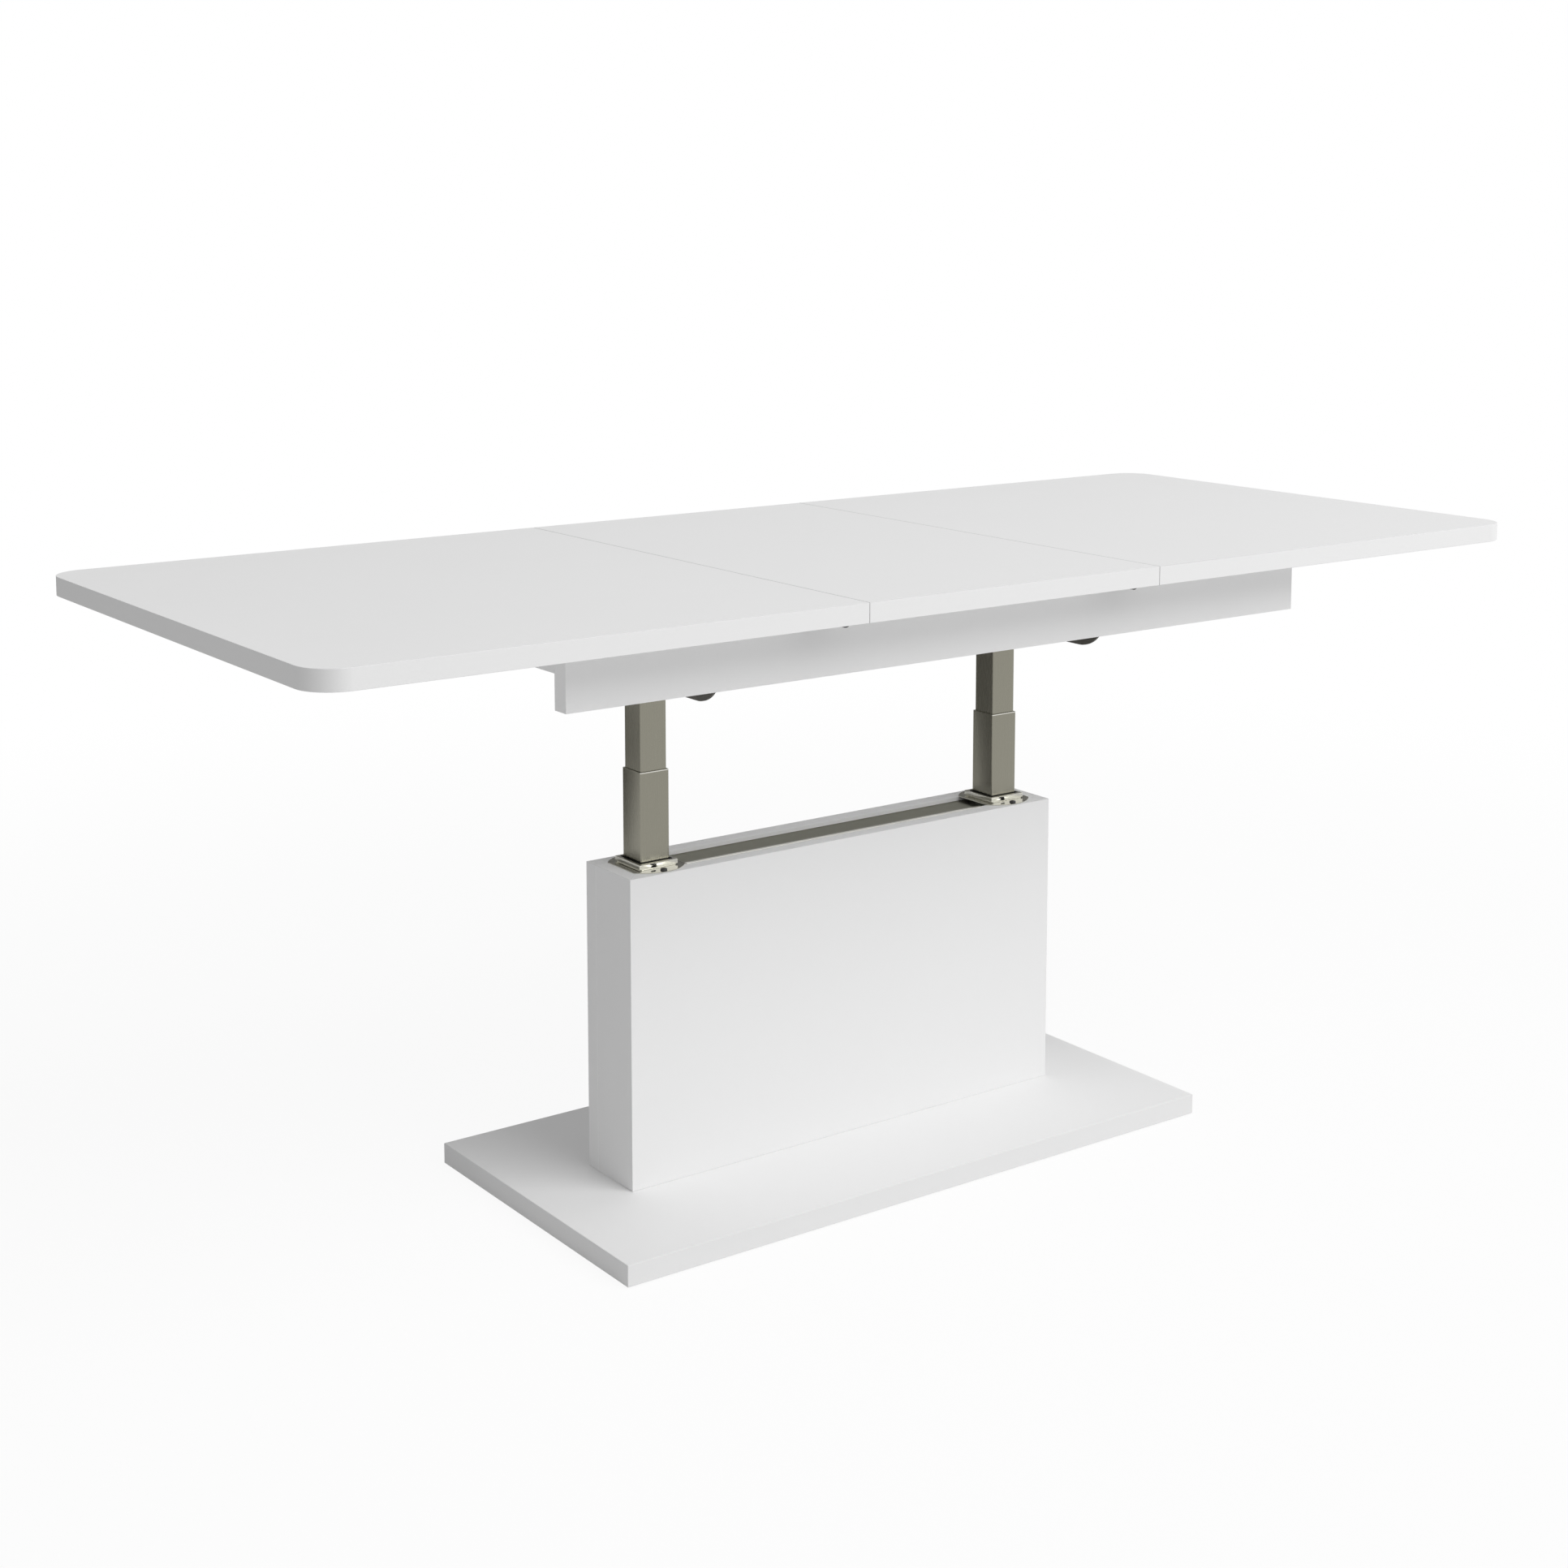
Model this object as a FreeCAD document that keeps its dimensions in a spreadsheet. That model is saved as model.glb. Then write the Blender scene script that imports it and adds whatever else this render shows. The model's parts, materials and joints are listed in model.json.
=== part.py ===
"""Convertible coffee and dining table: lifting columns, sliding end leaves and a loose insert leaf.

Frame: millimetres, +Z up, +X along the table, the sitter's front at -Y.
The origin lies on the floor under the middle of the base plate.
The pose is the raised table with the insert leaf in place.
"""
import FreeCAD, Part
import os
import re

import Sketcher

doc = FreeCAD.newDocument("convertible_table")

# Closeness in millimetres at which an edge counts as straight or in its place
FIT = 1e-4

# Driving sizes in millimetres
SIZES = {
    # table top
    "table_height": 747.5,
    "top_width": 700,
    "end_leaf_length": 630,
    "insert_pitch": 420,
    "leaf_thick": 22,
    "leaf_corner": 40,
    "edge_round": 0.5,
    "seam_gap": 0.7,
    # supports under the seams
    "seam_support_gap": 16.6,
    "seam_support_length": 30,
    "seam_support_width": 10,
    "seam_support_depth": 10.8,
    "seam_support_round": 4.5,
    "seam_support_flange": 20,
    "seam_support_sheet": 3,
    "seam_support_play": 0.3,
    # frame under the top
    "frame_setback": 103,
    "rail_inset": 87.6,
    "rail_thick": 22,
    "rail_height": 72,
    "cross_board_thick": 22,
    "end_board_width": 80,
    "column_board_width": 120,
    "bracket_leg": 30,
    "bracket_width": 40,
    "bracket_sheet": 2,
    # runners of the end leaves
    "runner_inset": 50.4,
    "runner_width": 36,
    "runner_height": 11,
    "runner_sheet": 1.5,
    "runner_slot": 18,
    "runner_gap": 1,
    "slider_play": 0.5,
    "slider_floor_play": 0.5,
    "slider_side_play": 1,
    "slider_length": 420,
    "slider_setback": 5,
    # telescopic columns
    "column_room": 9.3,
    "inner_tube_size": 35,
    "inner_tube_wall": 1.5,
    "inner_tube_length": 358,
    "inner_tube_shown": 105.5,
    "nest_clearance": 0.4,
    "outer_tube_wall": 1.6,
    "outer_tube_length": 330,
    "guide_clearance": 0.5,
    "guide_wall": 2,
    "tube_corner": 1.5,
    "bush_lip": 6,
    "bush_spigot": 12,
    "bush_play": 0.2,
    # gas springs
    "gas_cylinder_size": 22,
    "gas_cylinder_wall": 1.5,
    "gas_cylinder_length": 280,
    "gas_cap": 10,
    "gas_floor": 5,
    "gas_rod_size": 10,
    "gas_play": 0.3,
    "gas_bush_play": 0.6,
    "piston_length": 8,
    "piston_stop": 2,
    # arms on the column heads
    "arm_sheet": 3,
    "arm_end_gap": 57.4,
    "arm_drop": 75.4,
    "arm_corner": 45,
    "arm_flange_width": 62,
    # flanges, collars and wipers on the pedestal
    "flange_margin": 3,
    "flange_step": 9.3,
    "flange_thick": 0.8,
    "flange_ease": 0.5,
    "collar_gap": 2,
    "collar_end_gap": 2.7,
    "collar_wall": 5.2,
    "collar_end_wall": 4,
    "collar_height": 6.7,
    "collar_undercut_depth": 3,
    "collar_undercut_height": 1.5,
    "collar_slot_length": 6.4,
    "collar_slot_height": 1.8,
    "collar_slot_level": 2.9,
    "collar_slot_offset": 7.2,
    "collar_slot_depth": 3.6,
    "wiper_play": 0.3,
    "wiper_drop": 0.6,
    # pedestal and base
    "pedestal_length": 636,
    "pedestal_height": 370,
    "pedestal_board": 21,
    "guide_room": 5,
    "channel_sheet": 1,
    "channel_depth": 4.7,
    "channel_lip": 4,
    "channel_lip_gap": 0.3,
    "channel_notch": 23,
    "foot_bar_thick": 4,
    "foot_bar_end_play": 3.3,
    "foot_bar_play": 2,
    "base_reach_x": 108,
    "base_reach_y": 161,
    "base_thick": 25,
    "glide_height": 2,
    "glide_diameter": 30,
    "glide_inset": 50,
    # screws
    "screw_shank": 4,
    "screw_head": 8,
    "screw_head_height": 2,
    "screw_bite": 14,
    "screw_play": 0.1,
    "long_screw_shank": 6,
    "long_screw_head": 10,
    "long_screw_head_height": 4,
    "long_screw_bite": 30,
    "counterbore_rest": 1,
    "slider_screw_margin": 30,
    "arm_screw_near": 60,
    "arm_screw_margin": 33,
    "arm_screw_inset": 15,
    "foot_screw_margin": 43.7,
    "foot_screw_offset": 14,
    "panel_screw_margin": 98,
}

# Sizes and levels that follow from the driving ones
DERIVED = {
    "outer_tube_size": "inner_tube_size + 2 * (nest_clearance + outer_tube_wall)",
    "guide_inside": "outer_tube_size + 2 * guide_clearance",
    "guide_size": "guide_inside + 2 * guide_wall",
    "pedestal_gap": "guide_size + 2 * guide_room",
    "pedestal_width": "pedestal_gap + 2 * pedestal_board",
    "base_length": "pedestal_length + 2 * base_reach_x",
    "base_width": "pedestal_width + 2 * base_reach_y",
    "collar_room_x": "outer_tube_size + 2 * collar_end_gap",
    "collar_room_y": "outer_tube_size + 2 * collar_gap",
    "collar_length": "collar_room_x + 2 * collar_end_wall",
    "collar_width": "collar_room_y + 2 * collar_wall",
    "flange_radius": "pedestal_width / 2 - flange_margin",
    "flange_length": "collar_length + 2 * flange_step",
    "column_x": "pedestal_length / 2 - pedestal_board - column_room - guide_size / 2",
    "base_top": "glide_height + base_thick",
    "pedestal_top": "base_top + pedestal_height",
    "flange_top": "pedestal_top + flange_thick",
    "foot_bar_top": "base_top + foot_bar_thick",
    "leaf_underside": "table_height - leaf_thick",
    "board_top": "leaf_underside - runner_gap - runner_height",
    "board_underside": "board_top - cross_board_thick",
    "arm_flange_underside": "board_underside - arm_sheet",
    "inner_tube_bottom": "arm_flange_underside - inner_tube_length",
    "outer_tube_top": "board_underside - arm_drop - inner_tube_shown",
    "outer_tube_bottom": "outer_tube_top - outer_tube_length",
    "seam_x": "insert_pitch / 2",
    "frame_length": "2 * (end_leaf_length - frame_setback)",
    "frame_width": "top_width - 2 * rail_inset",
    "rail_inside": "frame_width / 2 - rail_thick",
    "end_board_x": "frame_length / 2 - end_board_width / 2",
    "runner_offset": "rail_inside - runner_inset",
    "slider_room": "runner_height - 2 * runner_sheet - screw_head_height",
    "slider_head_thick": "slider_room - slider_play - slider_floor_play",
    "slider_level": "leaf_underside - runner_gap - runner_sheet - slider_play - slider_head_thick",
    "slider_width": "runner_width - 2 * (runner_sheet + slider_side_play)",
    "slider_depth": "leaf_underside - slider_level",
    "counterbore": "screw_head_height + counterbore_rest",
    "piston_level": "foot_bar_top + gas_cylinder_length - gas_cap - piston_length - piston_stop",
    "foot_screw_x": "column_x - guide_size / 2 - foot_screw_margin",
    "panel_screw_x": "pedestal_length / 2 - panel_screw_margin",
    "panel_screw_y": "pedestal_width / 2 - pedestal_board / 2",
    "arm_span": "2 * (rail_inside - arm_end_gap)",
    "arm_screw_far": "arm_span / 2 - arm_screw_margin",
    "arm_flange_x": "inner_tube_size / 2 + arm_sheet - arm_flange_width / 2",
    "arm_screw_x": "inner_tube_size / 2 + arm_sheet - arm_flange_width + arm_screw_inset",
}

SIDES = {"left": -1, "right": 1}
ENDS = {"front": -1, "back": 1}


def bound(text):
    """Turn plain size names into references to the two sheets."""
    def reference(match):
        word = match.group(0)
        if word in SIZES:
            return "Sizes." + word
        if word in DERIVED:
            return "Derived." + word
        return word
    return re.sub(r"[a-z_]+", reference, str(text))


def fill_sheet(name, rows):
    """Write one named value per row."""
    sheet = doc.addObject("Spreadsheet::Sheet", name)
    for row, (alias, text) in enumerate(rows.items(), start=1):
        sheet.set(f"A{row}", alias)
        sheet.set(f"B{row}", text)
        sheet.setAlias(f"B{row}", alias)
    doc.recompute()
    return sheet


sizes = fill_sheet("Sizes", {alias: str(value) for alias, value in SIZES.items()})
derived = fill_sheet("Derived", {alias: "=" + bound(text) for alias, text in DERIVED.items()})


def number(text):
    """Present value of an expression in size names."""
    return float(sizes.evalExpression(bound(text)))


class Piece:
    """One physical piece: a body with sketched features, placed by expressions."""

    made = []

    def __init__(self, label, x="0", y="0", z="0"):
        self.body = doc.addObject("PartDesign::Body", label)
        self.body.Label = label
        self.body.AllowCompound = True
        for axis, place in zip("xyz", (x, y, z)):
            self.body.setExpression(f"Placement.Base.{axis}", bound(place))
        Piece.made.append(self.body)

    def sketch(self, plane, level="0"):
        """Empty sketch on one of the body's own planes, raised by a level along its normal."""
        sketch = self.body.newObject("Sketcher::SketchObject", "Sketch")
        role = plane + "_Plane"
        support = next(item for item in self.body.Origin.OriginFeatures if item.Role == role)
        sketch.AttachmentSupport = (support, [""])
        sketch.MapMode = "FlatFace"
        sketch.setExpression("AttachmentOffset.Base.z", bound(level))
        return sketch

    def pad(self, sketch, length, reverse=False):
        """Raise a sketch along its normal, or against it."""
        feature = self.body.newObject("PartDesign::Pad", "Pad")
        return self.finish_feature(feature, sketch, length, reverse)

    def pocket(self, sketch, length, reverse=False):
        """Cut a sketch against its normal, or along it."""
        feature = self.body.newObject("PartDesign::Pocket", "Pocket")
        return self.finish_feature(feature, sketch, length, reverse)

    def finish_feature(self, feature, sketch, length, reverse):
        """Give a pad or pocket its sketch, its bound length and its direction."""
        feature.Profile = sketch
        feature.setExpression("Length", bound(length))
        feature.Reversed = reverse
        doc.recompute()
        return feature

    def revolve(self, sketch):
        """Turn a sketch once round its own upright axis."""
        feature = self.body.newObject("PartDesign::Revolution", "Revolution")
        feature.Profile = sketch
        feature.ReferenceAxis = (sketch, ["V_Axis"])
        doc.recompute()
        return feature

    def fillet(self, radius, wanted):
        """Round every edge of the last feature that the test wants."""
        base = self.body.Tip
        edges = base.Shape.Edges
        names = [f"Edge{index}" for index, edge in enumerate(edges, start=1) if wanted(edge)]
        feature = self.body.newObject("PartDesign::Fillet", "Fillet")
        feature.Base = (base, names)
        feature.setExpression("Radius", bound(radius))
        doc.recompute()
        return feature


def pin_point(sketch, geometry, point, u, v):
    """Tie one point of a sketch to its place from the origin."""
    for kind, place in (("DistanceX", u), ("DistanceY", v)):
        constraint = Sketcher.Constraint(kind, -1, 1, geometry, point, number(place))
        index = sketch.addConstraint(constraint)
        sketch.setExpression(f"Constraints[{index}]", bound(place))


def outline(sketch, corners):
    """Closed polygon through corners given as expressions."""
    points = [FreeCAD.Vector(number(u), number(v), 0) for u, v in corners]
    first = sketch.GeometryCount
    count = len(points)
    for index in range(count):
        sketch.addGeometry(Part.LineSegment(points[index], points[(index + 1) % count]), False)
    for index, (u, v) in enumerate(corners):
        following = first + (index + 1) % count
        sketch.addConstraint(Sketcher.Constraint("Coincident", first + index, 2, following, 1))
        pin_point(sketch, first + index, 1, u, v)
    return sketch


def rectangle(sketch, length, width, u="0", v="0"):
    """Rectangle about a centre."""
    low_u, high_u = f"{u} - ({length}) / 2", f"{u} + ({length}) / 2"
    low_v, high_v = f"{v} - ({width}) / 2", f"{v} + ({width}) / 2"
    return outline(sketch, [(low_u, low_v), (high_u, low_v), (high_u, high_v), (low_u, high_v)])


def circles(sketch, diameter, centres):
    """Equal circles, one about each centre."""
    for u, v in centres:
        middle = FreeCAD.Vector(number(u), number(v), 0)
        radius = number(diameter) / 2
        index = sketch.addGeometry(Part.Circle(middle, FreeCAD.Vector(0, 0, 1), radius), False)
        constraint = sketch.addConstraint(Sketcher.Constraint("Diameter", index, 2 * radius))
        sketch.setExpression(f"Constraints[{constraint}]", bound(diameter))
        pin_point(sketch, index, 3, u, v)
    return sketch


def board(label, length, width, thick, x="0", y="0", z="0"):
    """Flat rectangular board."""
    piece = Piece(label, x, y, z)
    piece.pad(rectangle(piece.sketch("XY"), length, width), thick)
    return piece


def square_tube(label, size, wall, length, x, z):
    """Upright square tube with rounded outer corners."""
    piece = Piece(label, x, "0", z)
    piece.pad(rectangle(piece.sketch("XY"), size, size), length)
    piece.fillet("tube_corner", is_upright)
    bore = f"{size} - 2 * {wall}"
    piece.pocket(rectangle(piece.sketch("XY"), bore, bore), length, reverse=True)
    return piece


def screws(label, shank, head, head_height, reach, groups):
    """Group of like screws. A group is a head level, centres and whether the shank points up."""
    piece = Piece(label)
    for level, centres, upward in groups:
        piece.pad(circles(piece.sketch("XY", level), head, centres), head_height, reverse=upward)
        piece.pad(circles(piece.sketch("XY", level), shank, centres), reach, reverse=not upward)
    return piece


def is_upright(edge):
    """Whether an edge runs straight up."""
    box = edge.BoundBox
    return box.XLength + box.YLength < FIT


def times(sign, text):
    """Expression with a sign of -1 or 1."""
    return f"{sign} * ({text})"


def both(text):
    """An expression and its mirror image."""
    return [times(-1, text), times(1, text)]


def grid(us, vs):
    """Every pair of two lists of expressions."""
    return [(u, v) for u in us for v in vs]


def hole(shank):
    """Diameter of the hole for a screw shank."""
    return f"{shank} + 2 * screw_play"


# Where the screws stand
panel_screw_xs = both("panel_screw_x") + ["0"]
panel_screw_places = grid(panel_screw_xs, both("panel_screw_y"))
flange_screw_places = grid(both("column_x"), both("panel_screw_y"))
foot_screw_places = grid(both("foot_screw_x") + ["0"], both("foot_screw_offset"))
cross_board_xs = both("end_board_x") + both("column_x")
arm_screw_ys = both("arm_screw_near") + both("arm_screw_far")


# Base plate on its glides
def make_base():
    plate = board("base_plate", "base_length", "base_width", "base_thick", z="glide_height")
    through = circles(plate.sketch("XY"), hole("long_screw_shank"), panel_screw_places)
    plate.pocket(through, "base_thick", True)
    recess = circles(plate.sketch("XY"), "long_screw_head + 2 * screw_play", panel_screw_places)
    plate.pocket(recess, "long_screw_head_height + counterbore_rest", True)
    pilot = circles(plate.sketch("XY", "base_thick"), hole("screw_shank"), foot_screw_places)
    plate.pocket(pilot, "screw_bite + counterbore_rest")
    glides = Piece("base_glides")
    xs = both("base_length / 2 - glide_inset") + ["0"]
    ys = both("base_width / 2 - glide_inset")
    glides.pad(circles(glides.sketch("XY"), "glide_diameter", grid(xs, ys)), "glide_height")
    head_level = "glide_height + long_screw_head_height + counterbore_rest"
    reach = "base_thick - long_screw_head_height - counterbore_rest + long_screw_bite"
    screws("pedestal_screws", "long_screw_shank", "long_screw_head", "long_screw_head_height", reach,
           [(head_level, panel_screw_places, True)])


# Pedestal box: mitred front corners, back panel across both ends
def make_pedestal():
    half, inner = "pedestal_length / 2", "pedestal_length / 2 - pedestal_board"
    front, front_inner = "-pedestal_width / 2", "-pedestal_gap / 2"
    back, back_inner = "pedestal_width / 2", "pedestal_gap / 2"
    outlines = {
        "front": [(times(-1, half), front), (half, front),
                  (inner, front_inner), (times(-1, inner), front_inner)],
        "back": [(times(-1, half), back_inner), (half, back_inner),
                 (half, back), (times(-1, half), back)],
    }
    for end, sign in ENDS.items():
        panel = Piece(f"pedestal_{end}_panel", z="base_top")
        panel.pad(outline(panel.sketch("XY"), outlines[end]), "pedestal_height")
        row = [times(sign, "panel_screw_y")]
        below = circles(panel.sketch("XY"), hole("long_screw_shank"), grid(panel_screw_xs, row))
        panel.pocket(below, "long_screw_bite + counterbore_rest", True)
        places = grid(both("column_x"), row)
        above = circles(panel.sketch("XY", "pedestal_height"), hole("screw_shank"), places)
        panel.pocket(above, "screw_bite + counterbore_rest")
    for side, sign in SIDES.items():
        corners = [(half, front), (half, back_inner), (inner, back_inner), (inner, front_inner)]
        panel = Piece(f"pedestal_{side}_end", z="base_top")
        panel.pad(outline(panel.sketch("XY"), [(times(sign, u), v) for u, v in corners]), "pedestal_height")


# Steel inside the pedestal: foot bar, guide tubes and the channel strip along the top
def make_pedestal_steel():
    length = "pedestal_length - 2 * (pedestal_board + foot_bar_end_play)"
    bar = board("foot_bar", length, "pedestal_gap - 2 * foot_bar_play", "foot_bar_thick", z="base_top")
    bar.pocket(circles(bar.sketch("XY"), hole("screw_shank"), foot_screw_places), "foot_bar_thick", True)
    screws("foot_screws", "screw_shank", "screw_head", "screw_head_height", "foot_bar_thick + screw_bite",
           [("foot_bar_top", foot_screw_places, False)])
    for side, sign in SIDES.items():
        square_tube(f"{side}_guide_tube", "guide_size", "guide_wall", "pedestal_height - foot_bar_thick",
                    times(sign, "column_x"), "foot_bar_top")
    make_channel()


def make_channel():
    """Folded strip between the guide tubes. Its lip over the front panel stops short of the flanges."""
    length = "2 * column_x - guide_size"
    channel = Piece("top_channel", z="pedestal_top")
    edge, lip = "pedestal_gap / 2", "pedestal_gap / 2 + channel_lip"
    fold = "pedestal_gap / 2 - channel_sheet"
    floor, underside = "-channel_depth", "-channel_depth - channel_sheet"
    section = [(times(-1, edge), underside), (edge, underside), (edge, floor), (times(-1, fold), floor),
               (times(-1, fold), "channel_sheet"), (times(-1, lip), "channel_sheet"), (times(-1, lip), "0"),
               (times(-1, edge), "0")]
    channel.pad(outline(channel.sketch("YZ", f"-({length}) / 2"), section), length)
    lip_width = "channel_lip + channel_sheet"
    lip_middle = f"-({lip}) + ({lip_width}) / 2"
    relief = "flange_length / 2 - guide_size / 2 + channel_lip_gap"
    short = rectangle(channel.sketch("XY", "channel_sheet"), relief, lip_width,
                      f"-({length}) / 2 + ({relief}) / 2", lip_middle)
    channel.pocket(short, "channel_sheet")
    notch = rectangle(channel.sketch("XY", "channel_sheet"), "channel_notch", lip_width,
                      f"({length}) / 2 - channel_notch / 2", lip_middle)
    channel.pocket(notch, "channel_sheet + channel_depth")


# Flange, undercut collar and wiper ring at the foot of each column
def make_collars():
    screws("flange_screws", "screw_shank", "screw_head", "screw_head_height", "flange_thick + screw_bite",
           [("flange_top", flange_screw_places, False)])
    for side, sign in SIDES.items():
        x = times(sign, "column_x")
        flange = Piece(f"{side}_flange", x, "0", "pedestal_top")
        flange.pad(circles(flange.sketch("XY"), "2 * flange_radius", [("0", "0")]), "flange_thick")
        trims = flange.sketch("XY")
        for u in both("flange_radius / 2 + flange_length / 4"):
            rectangle(trims, "flange_radius - flange_length / 2", "2 * flange_radius", u)
        rectangle(trims, "guide_inside + 2 * flange_ease", "guide_inside + 2 * flange_ease")
        circles(trims, hole("screw_shank"), grid(["0"], both("panel_screw_y")))
        flange.pocket(trims, "flange_thick", True)
        collar = Piece(f"{side}_collar", x, "0", "flange_top")
        ring = rectangle(collar.sketch("XY"), "collar_length", "collar_width")
        collar.pad(rectangle(ring, "collar_room_x", "collar_room_y"), "collar_height")
        undercuts = collar.sketch("XY")
        for u in both("collar_length / 2 - collar_undercut_depth / 2"):
            rectangle(undercuts, "collar_undercut_depth", "collar_width", u)
        collar.pocket(undercuts, "collar_undercut_height", True)
        slot = collar.sketch("XZ", "collar_width / 2")
        rectangle(slot, "collar_slot_length", "collar_slot_height",
                  "-collar_slot_offset", "collar_slot_level")
        collar.pocket(slot, "collar_slot_depth")
        wiper = Piece(f"{side}_wiper", x, "0", "flange_top")
        band = rectangle(wiper.sketch("XY"), "collar_room_x", "collar_room_y")
        bore = "outer_tube_size + 2 * wiper_play"
        wiper.pad(rectangle(band, bore, bore), "collar_height - wiper_drop")


# Telescopic tubes with plastic bushes at their lower ends
def make_columns():
    for side, sign in SIDES.items():
        x = times(sign, "column_x")
        stages = (("outer", "outer_tube_size", "outer_tube_wall", "outer_tube_length", "outer_tube_bottom",
                   "guide_inside"),
                  ("inner", "inner_tube_size", "inner_tube_wall", "inner_tube_length", "inner_tube_bottom",
                   "outer_tube_size - 2 * outer_tube_wall"))
        for stage, size, wall, length, bottom, room in stages:
            square_tube(f"{side}_{stage}_tube", size, wall, length, x, bottom)
            bush = Piece(f"{side}_{stage}_bush", x, "0", bottom)
            lip = f"{room} - 2 * bush_play"
            spigot = f"{size} - 2 * ({wall} + bush_play)"
            bush.pad(rectangle(bush.sketch("XY"), lip, lip), "bush_lip", True)
            bush.pad(rectangle(bush.sketch("XY"), spigot, spigot), "bush_spigot")
            bore = "gas_cylinder_size + 2 * gas_bush_play"
            through = circles(bush.sketch("XY", "bush_spigot"), bore, [("0", "0")])
            bush.pocket(through, "bush_spigot + bush_lip")


# Gas springs: cylinder on the foot bar, rod up to the arm
def make_gas_springs():
    outer, inner = "gas_cylinder_size / 2", "gas_cylinder_size / 2 - gas_cylinder_wall"
    rod, neck = "gas_rod_size / 2", "gas_rod_size / 2 + gas_play"
    top, under_cap = "gas_cylinder_length", "gas_cylinder_length - gas_cap"
    piston = f"{inner} - gas_play"
    reach = "arm_flange_underside - piston_level"
    shell = [("0", "0"), (outer, "0"), (outer, top), (neck, top), (neck, under_cap), (inner, under_cap),
             (inner, "gas_floor"), ("0", "gas_floor")]
    plunger = [("0", "0"), (piston, "0"), (piston, "piston_length"), (rod, "piston_length"), (rod, reach),
               ("0", reach)]
    for side, sign in SIDES.items():
        x = times(sign, "column_x")
        cylinder = Piece(f"{side}_gas_cylinder", x, "0", "foot_bar_top")
        cylinder.revolve(outline(cylinder.sketch("XZ"), shell))
        plunger_piece = Piece(f"{side}_gas_rod", x, "0", "piston_level")
        plunger_piece.revolve(outline(plunger_piece.sketch("XZ"), plunger))


# Arms: a web with rounded lower corners beside the tube, and a flange under the cross board
def make_arms():
    for side, sign in SIDES.items():
        web_x = times(sign, "inner_tube_size / 2 + arm_sheet / 2") + " - arm_sheet / 2"
        arm = Piece(f"{side}_head_arm", times(sign, "column_x"), "0", "board_underside")
        web = rectangle(arm.sketch("YZ", web_x), "arm_span", "arm_drop", "0", "-arm_drop / 2")
        arm.pad(web, "arm_sheet")
        lowest = -number("arm_drop")
        arm.fillet("arm_corner", lambda edge: is_across(edge) and edge.BoundBox.ZMin < lowest + FIT)
        flange = arm.sketch("XY")
        rectangle(flange, "arm_flange_width", "arm_span", times(sign, "arm_flange_x"))
        arm.pad(flange, "arm_sheet", True)
        holes = grid([times(sign, "arm_screw_x")], arm_screw_ys)
        arm.pocket(circles(arm.sketch("XY"), hole("screw_shank"), holes), "arm_sheet")


def is_across(edge):
    """Whether an edge runs straight along X."""
    box = edge.BoundBox
    return box.YLength + box.ZLength < FIT


# Rails, cross boards and their brackets
def make_frame():
    for end, sign in ENDS.items():
        board(f"{end}_rail", "frame_length", "rail_thick", "rail_height",
              y=times(sign, "frame_width / 2 - rail_thick / 2"), z="leaf_underside - rail_height")
    for side, sign in SIDES.items():
        for kind, width, x in (("end", "end_board_width", "end_board_x"),
                               ("column", "column_board_width", "column_x")):
            cross = board(f"{side}_{kind}_board", width, "2 * rail_inside", "cross_board_thick",
                          times(sign, x), "0", "board_underside")
            pilot = circles(cross.sketch("XY", "cross_board_thick"), hole("screw_shank"),
                            grid(["0"], both("runner_offset")))
            cross.pocket(pilot, "screw_bite + counterbore_rest")
            if kind == "column":
                places = grid([times(sign, "arm_screw_x")], arm_screw_ys)
                below = circles(cross.sketch("XY"), hole("screw_shank"), places)
                cross.pocket(below, "screw_bite + counterbore_rest", True)
    arm_groups = [grid([times(sign, "column_x + arm_screw_x")], arm_screw_ys) for sign in SIDES.values()]
    screws("arm_screws", "screw_shank", "screw_head", "screw_head_height", "arm_sheet + screw_bite",
           [("arm_flange_underside", places, True) for places in arm_groups])
    brackets = Piece("corner_brackets", z="board_underside")
    for x in cross_board_xs:
        section = brackets.sketch("YZ", f"{x} - bracket_width / 2")
        for sign in ENDS.values():
            corners = [("rail_inside", "0"), ("rail_inside", "-bracket_leg"),
                       ("rail_inside - bracket_sheet", "-bracket_leg"),
                       ("rail_inside - bracket_sheet", "-bracket_sheet"),
                       ("rail_inside - bracket_leg", "-bracket_sheet"), ("rail_inside - bracket_leg", "0")]
            outline(section, [(times(sign, u), v) for u, v in corners])
        brackets.pad(section, "bracket_width")


# Runner channels on the cross boards
def make_runners():
    wide, narrow = "runner_width / 2", "runner_width / 2 - runner_sheet"
    slot, top, under = "runner_slot / 2", "runner_height", "runner_height - runner_sheet"
    half = [(wide, "0"), (wide, top), (slot, top), (slot, under), (narrow, under), (narrow, "runner_sheet")]
    section = half + [(times(-1, u), v) for u, v in reversed(half)]
    holes = grid(cross_board_xs, ["0"])
    for end, sign in ENDS.items():
        runner = Piece(f"{end}_runner", "0", times(sign, "runner_offset"), "board_top")
        runner.pad(outline(runner.sketch("YZ", "-frame_length / 2"), section), "frame_length")
        runner.pocket(circles(runner.sketch("XY"), hole("screw_shank"), holes), "runner_sheet", True)
    places = grid(cross_board_xs, both("runner_offset"))
    screws("runner_screws", "screw_shank", "screw_head", "screw_head_height", "runner_sheet + screw_bite",
           [("board_top + runner_sheet", places, False)])


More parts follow.
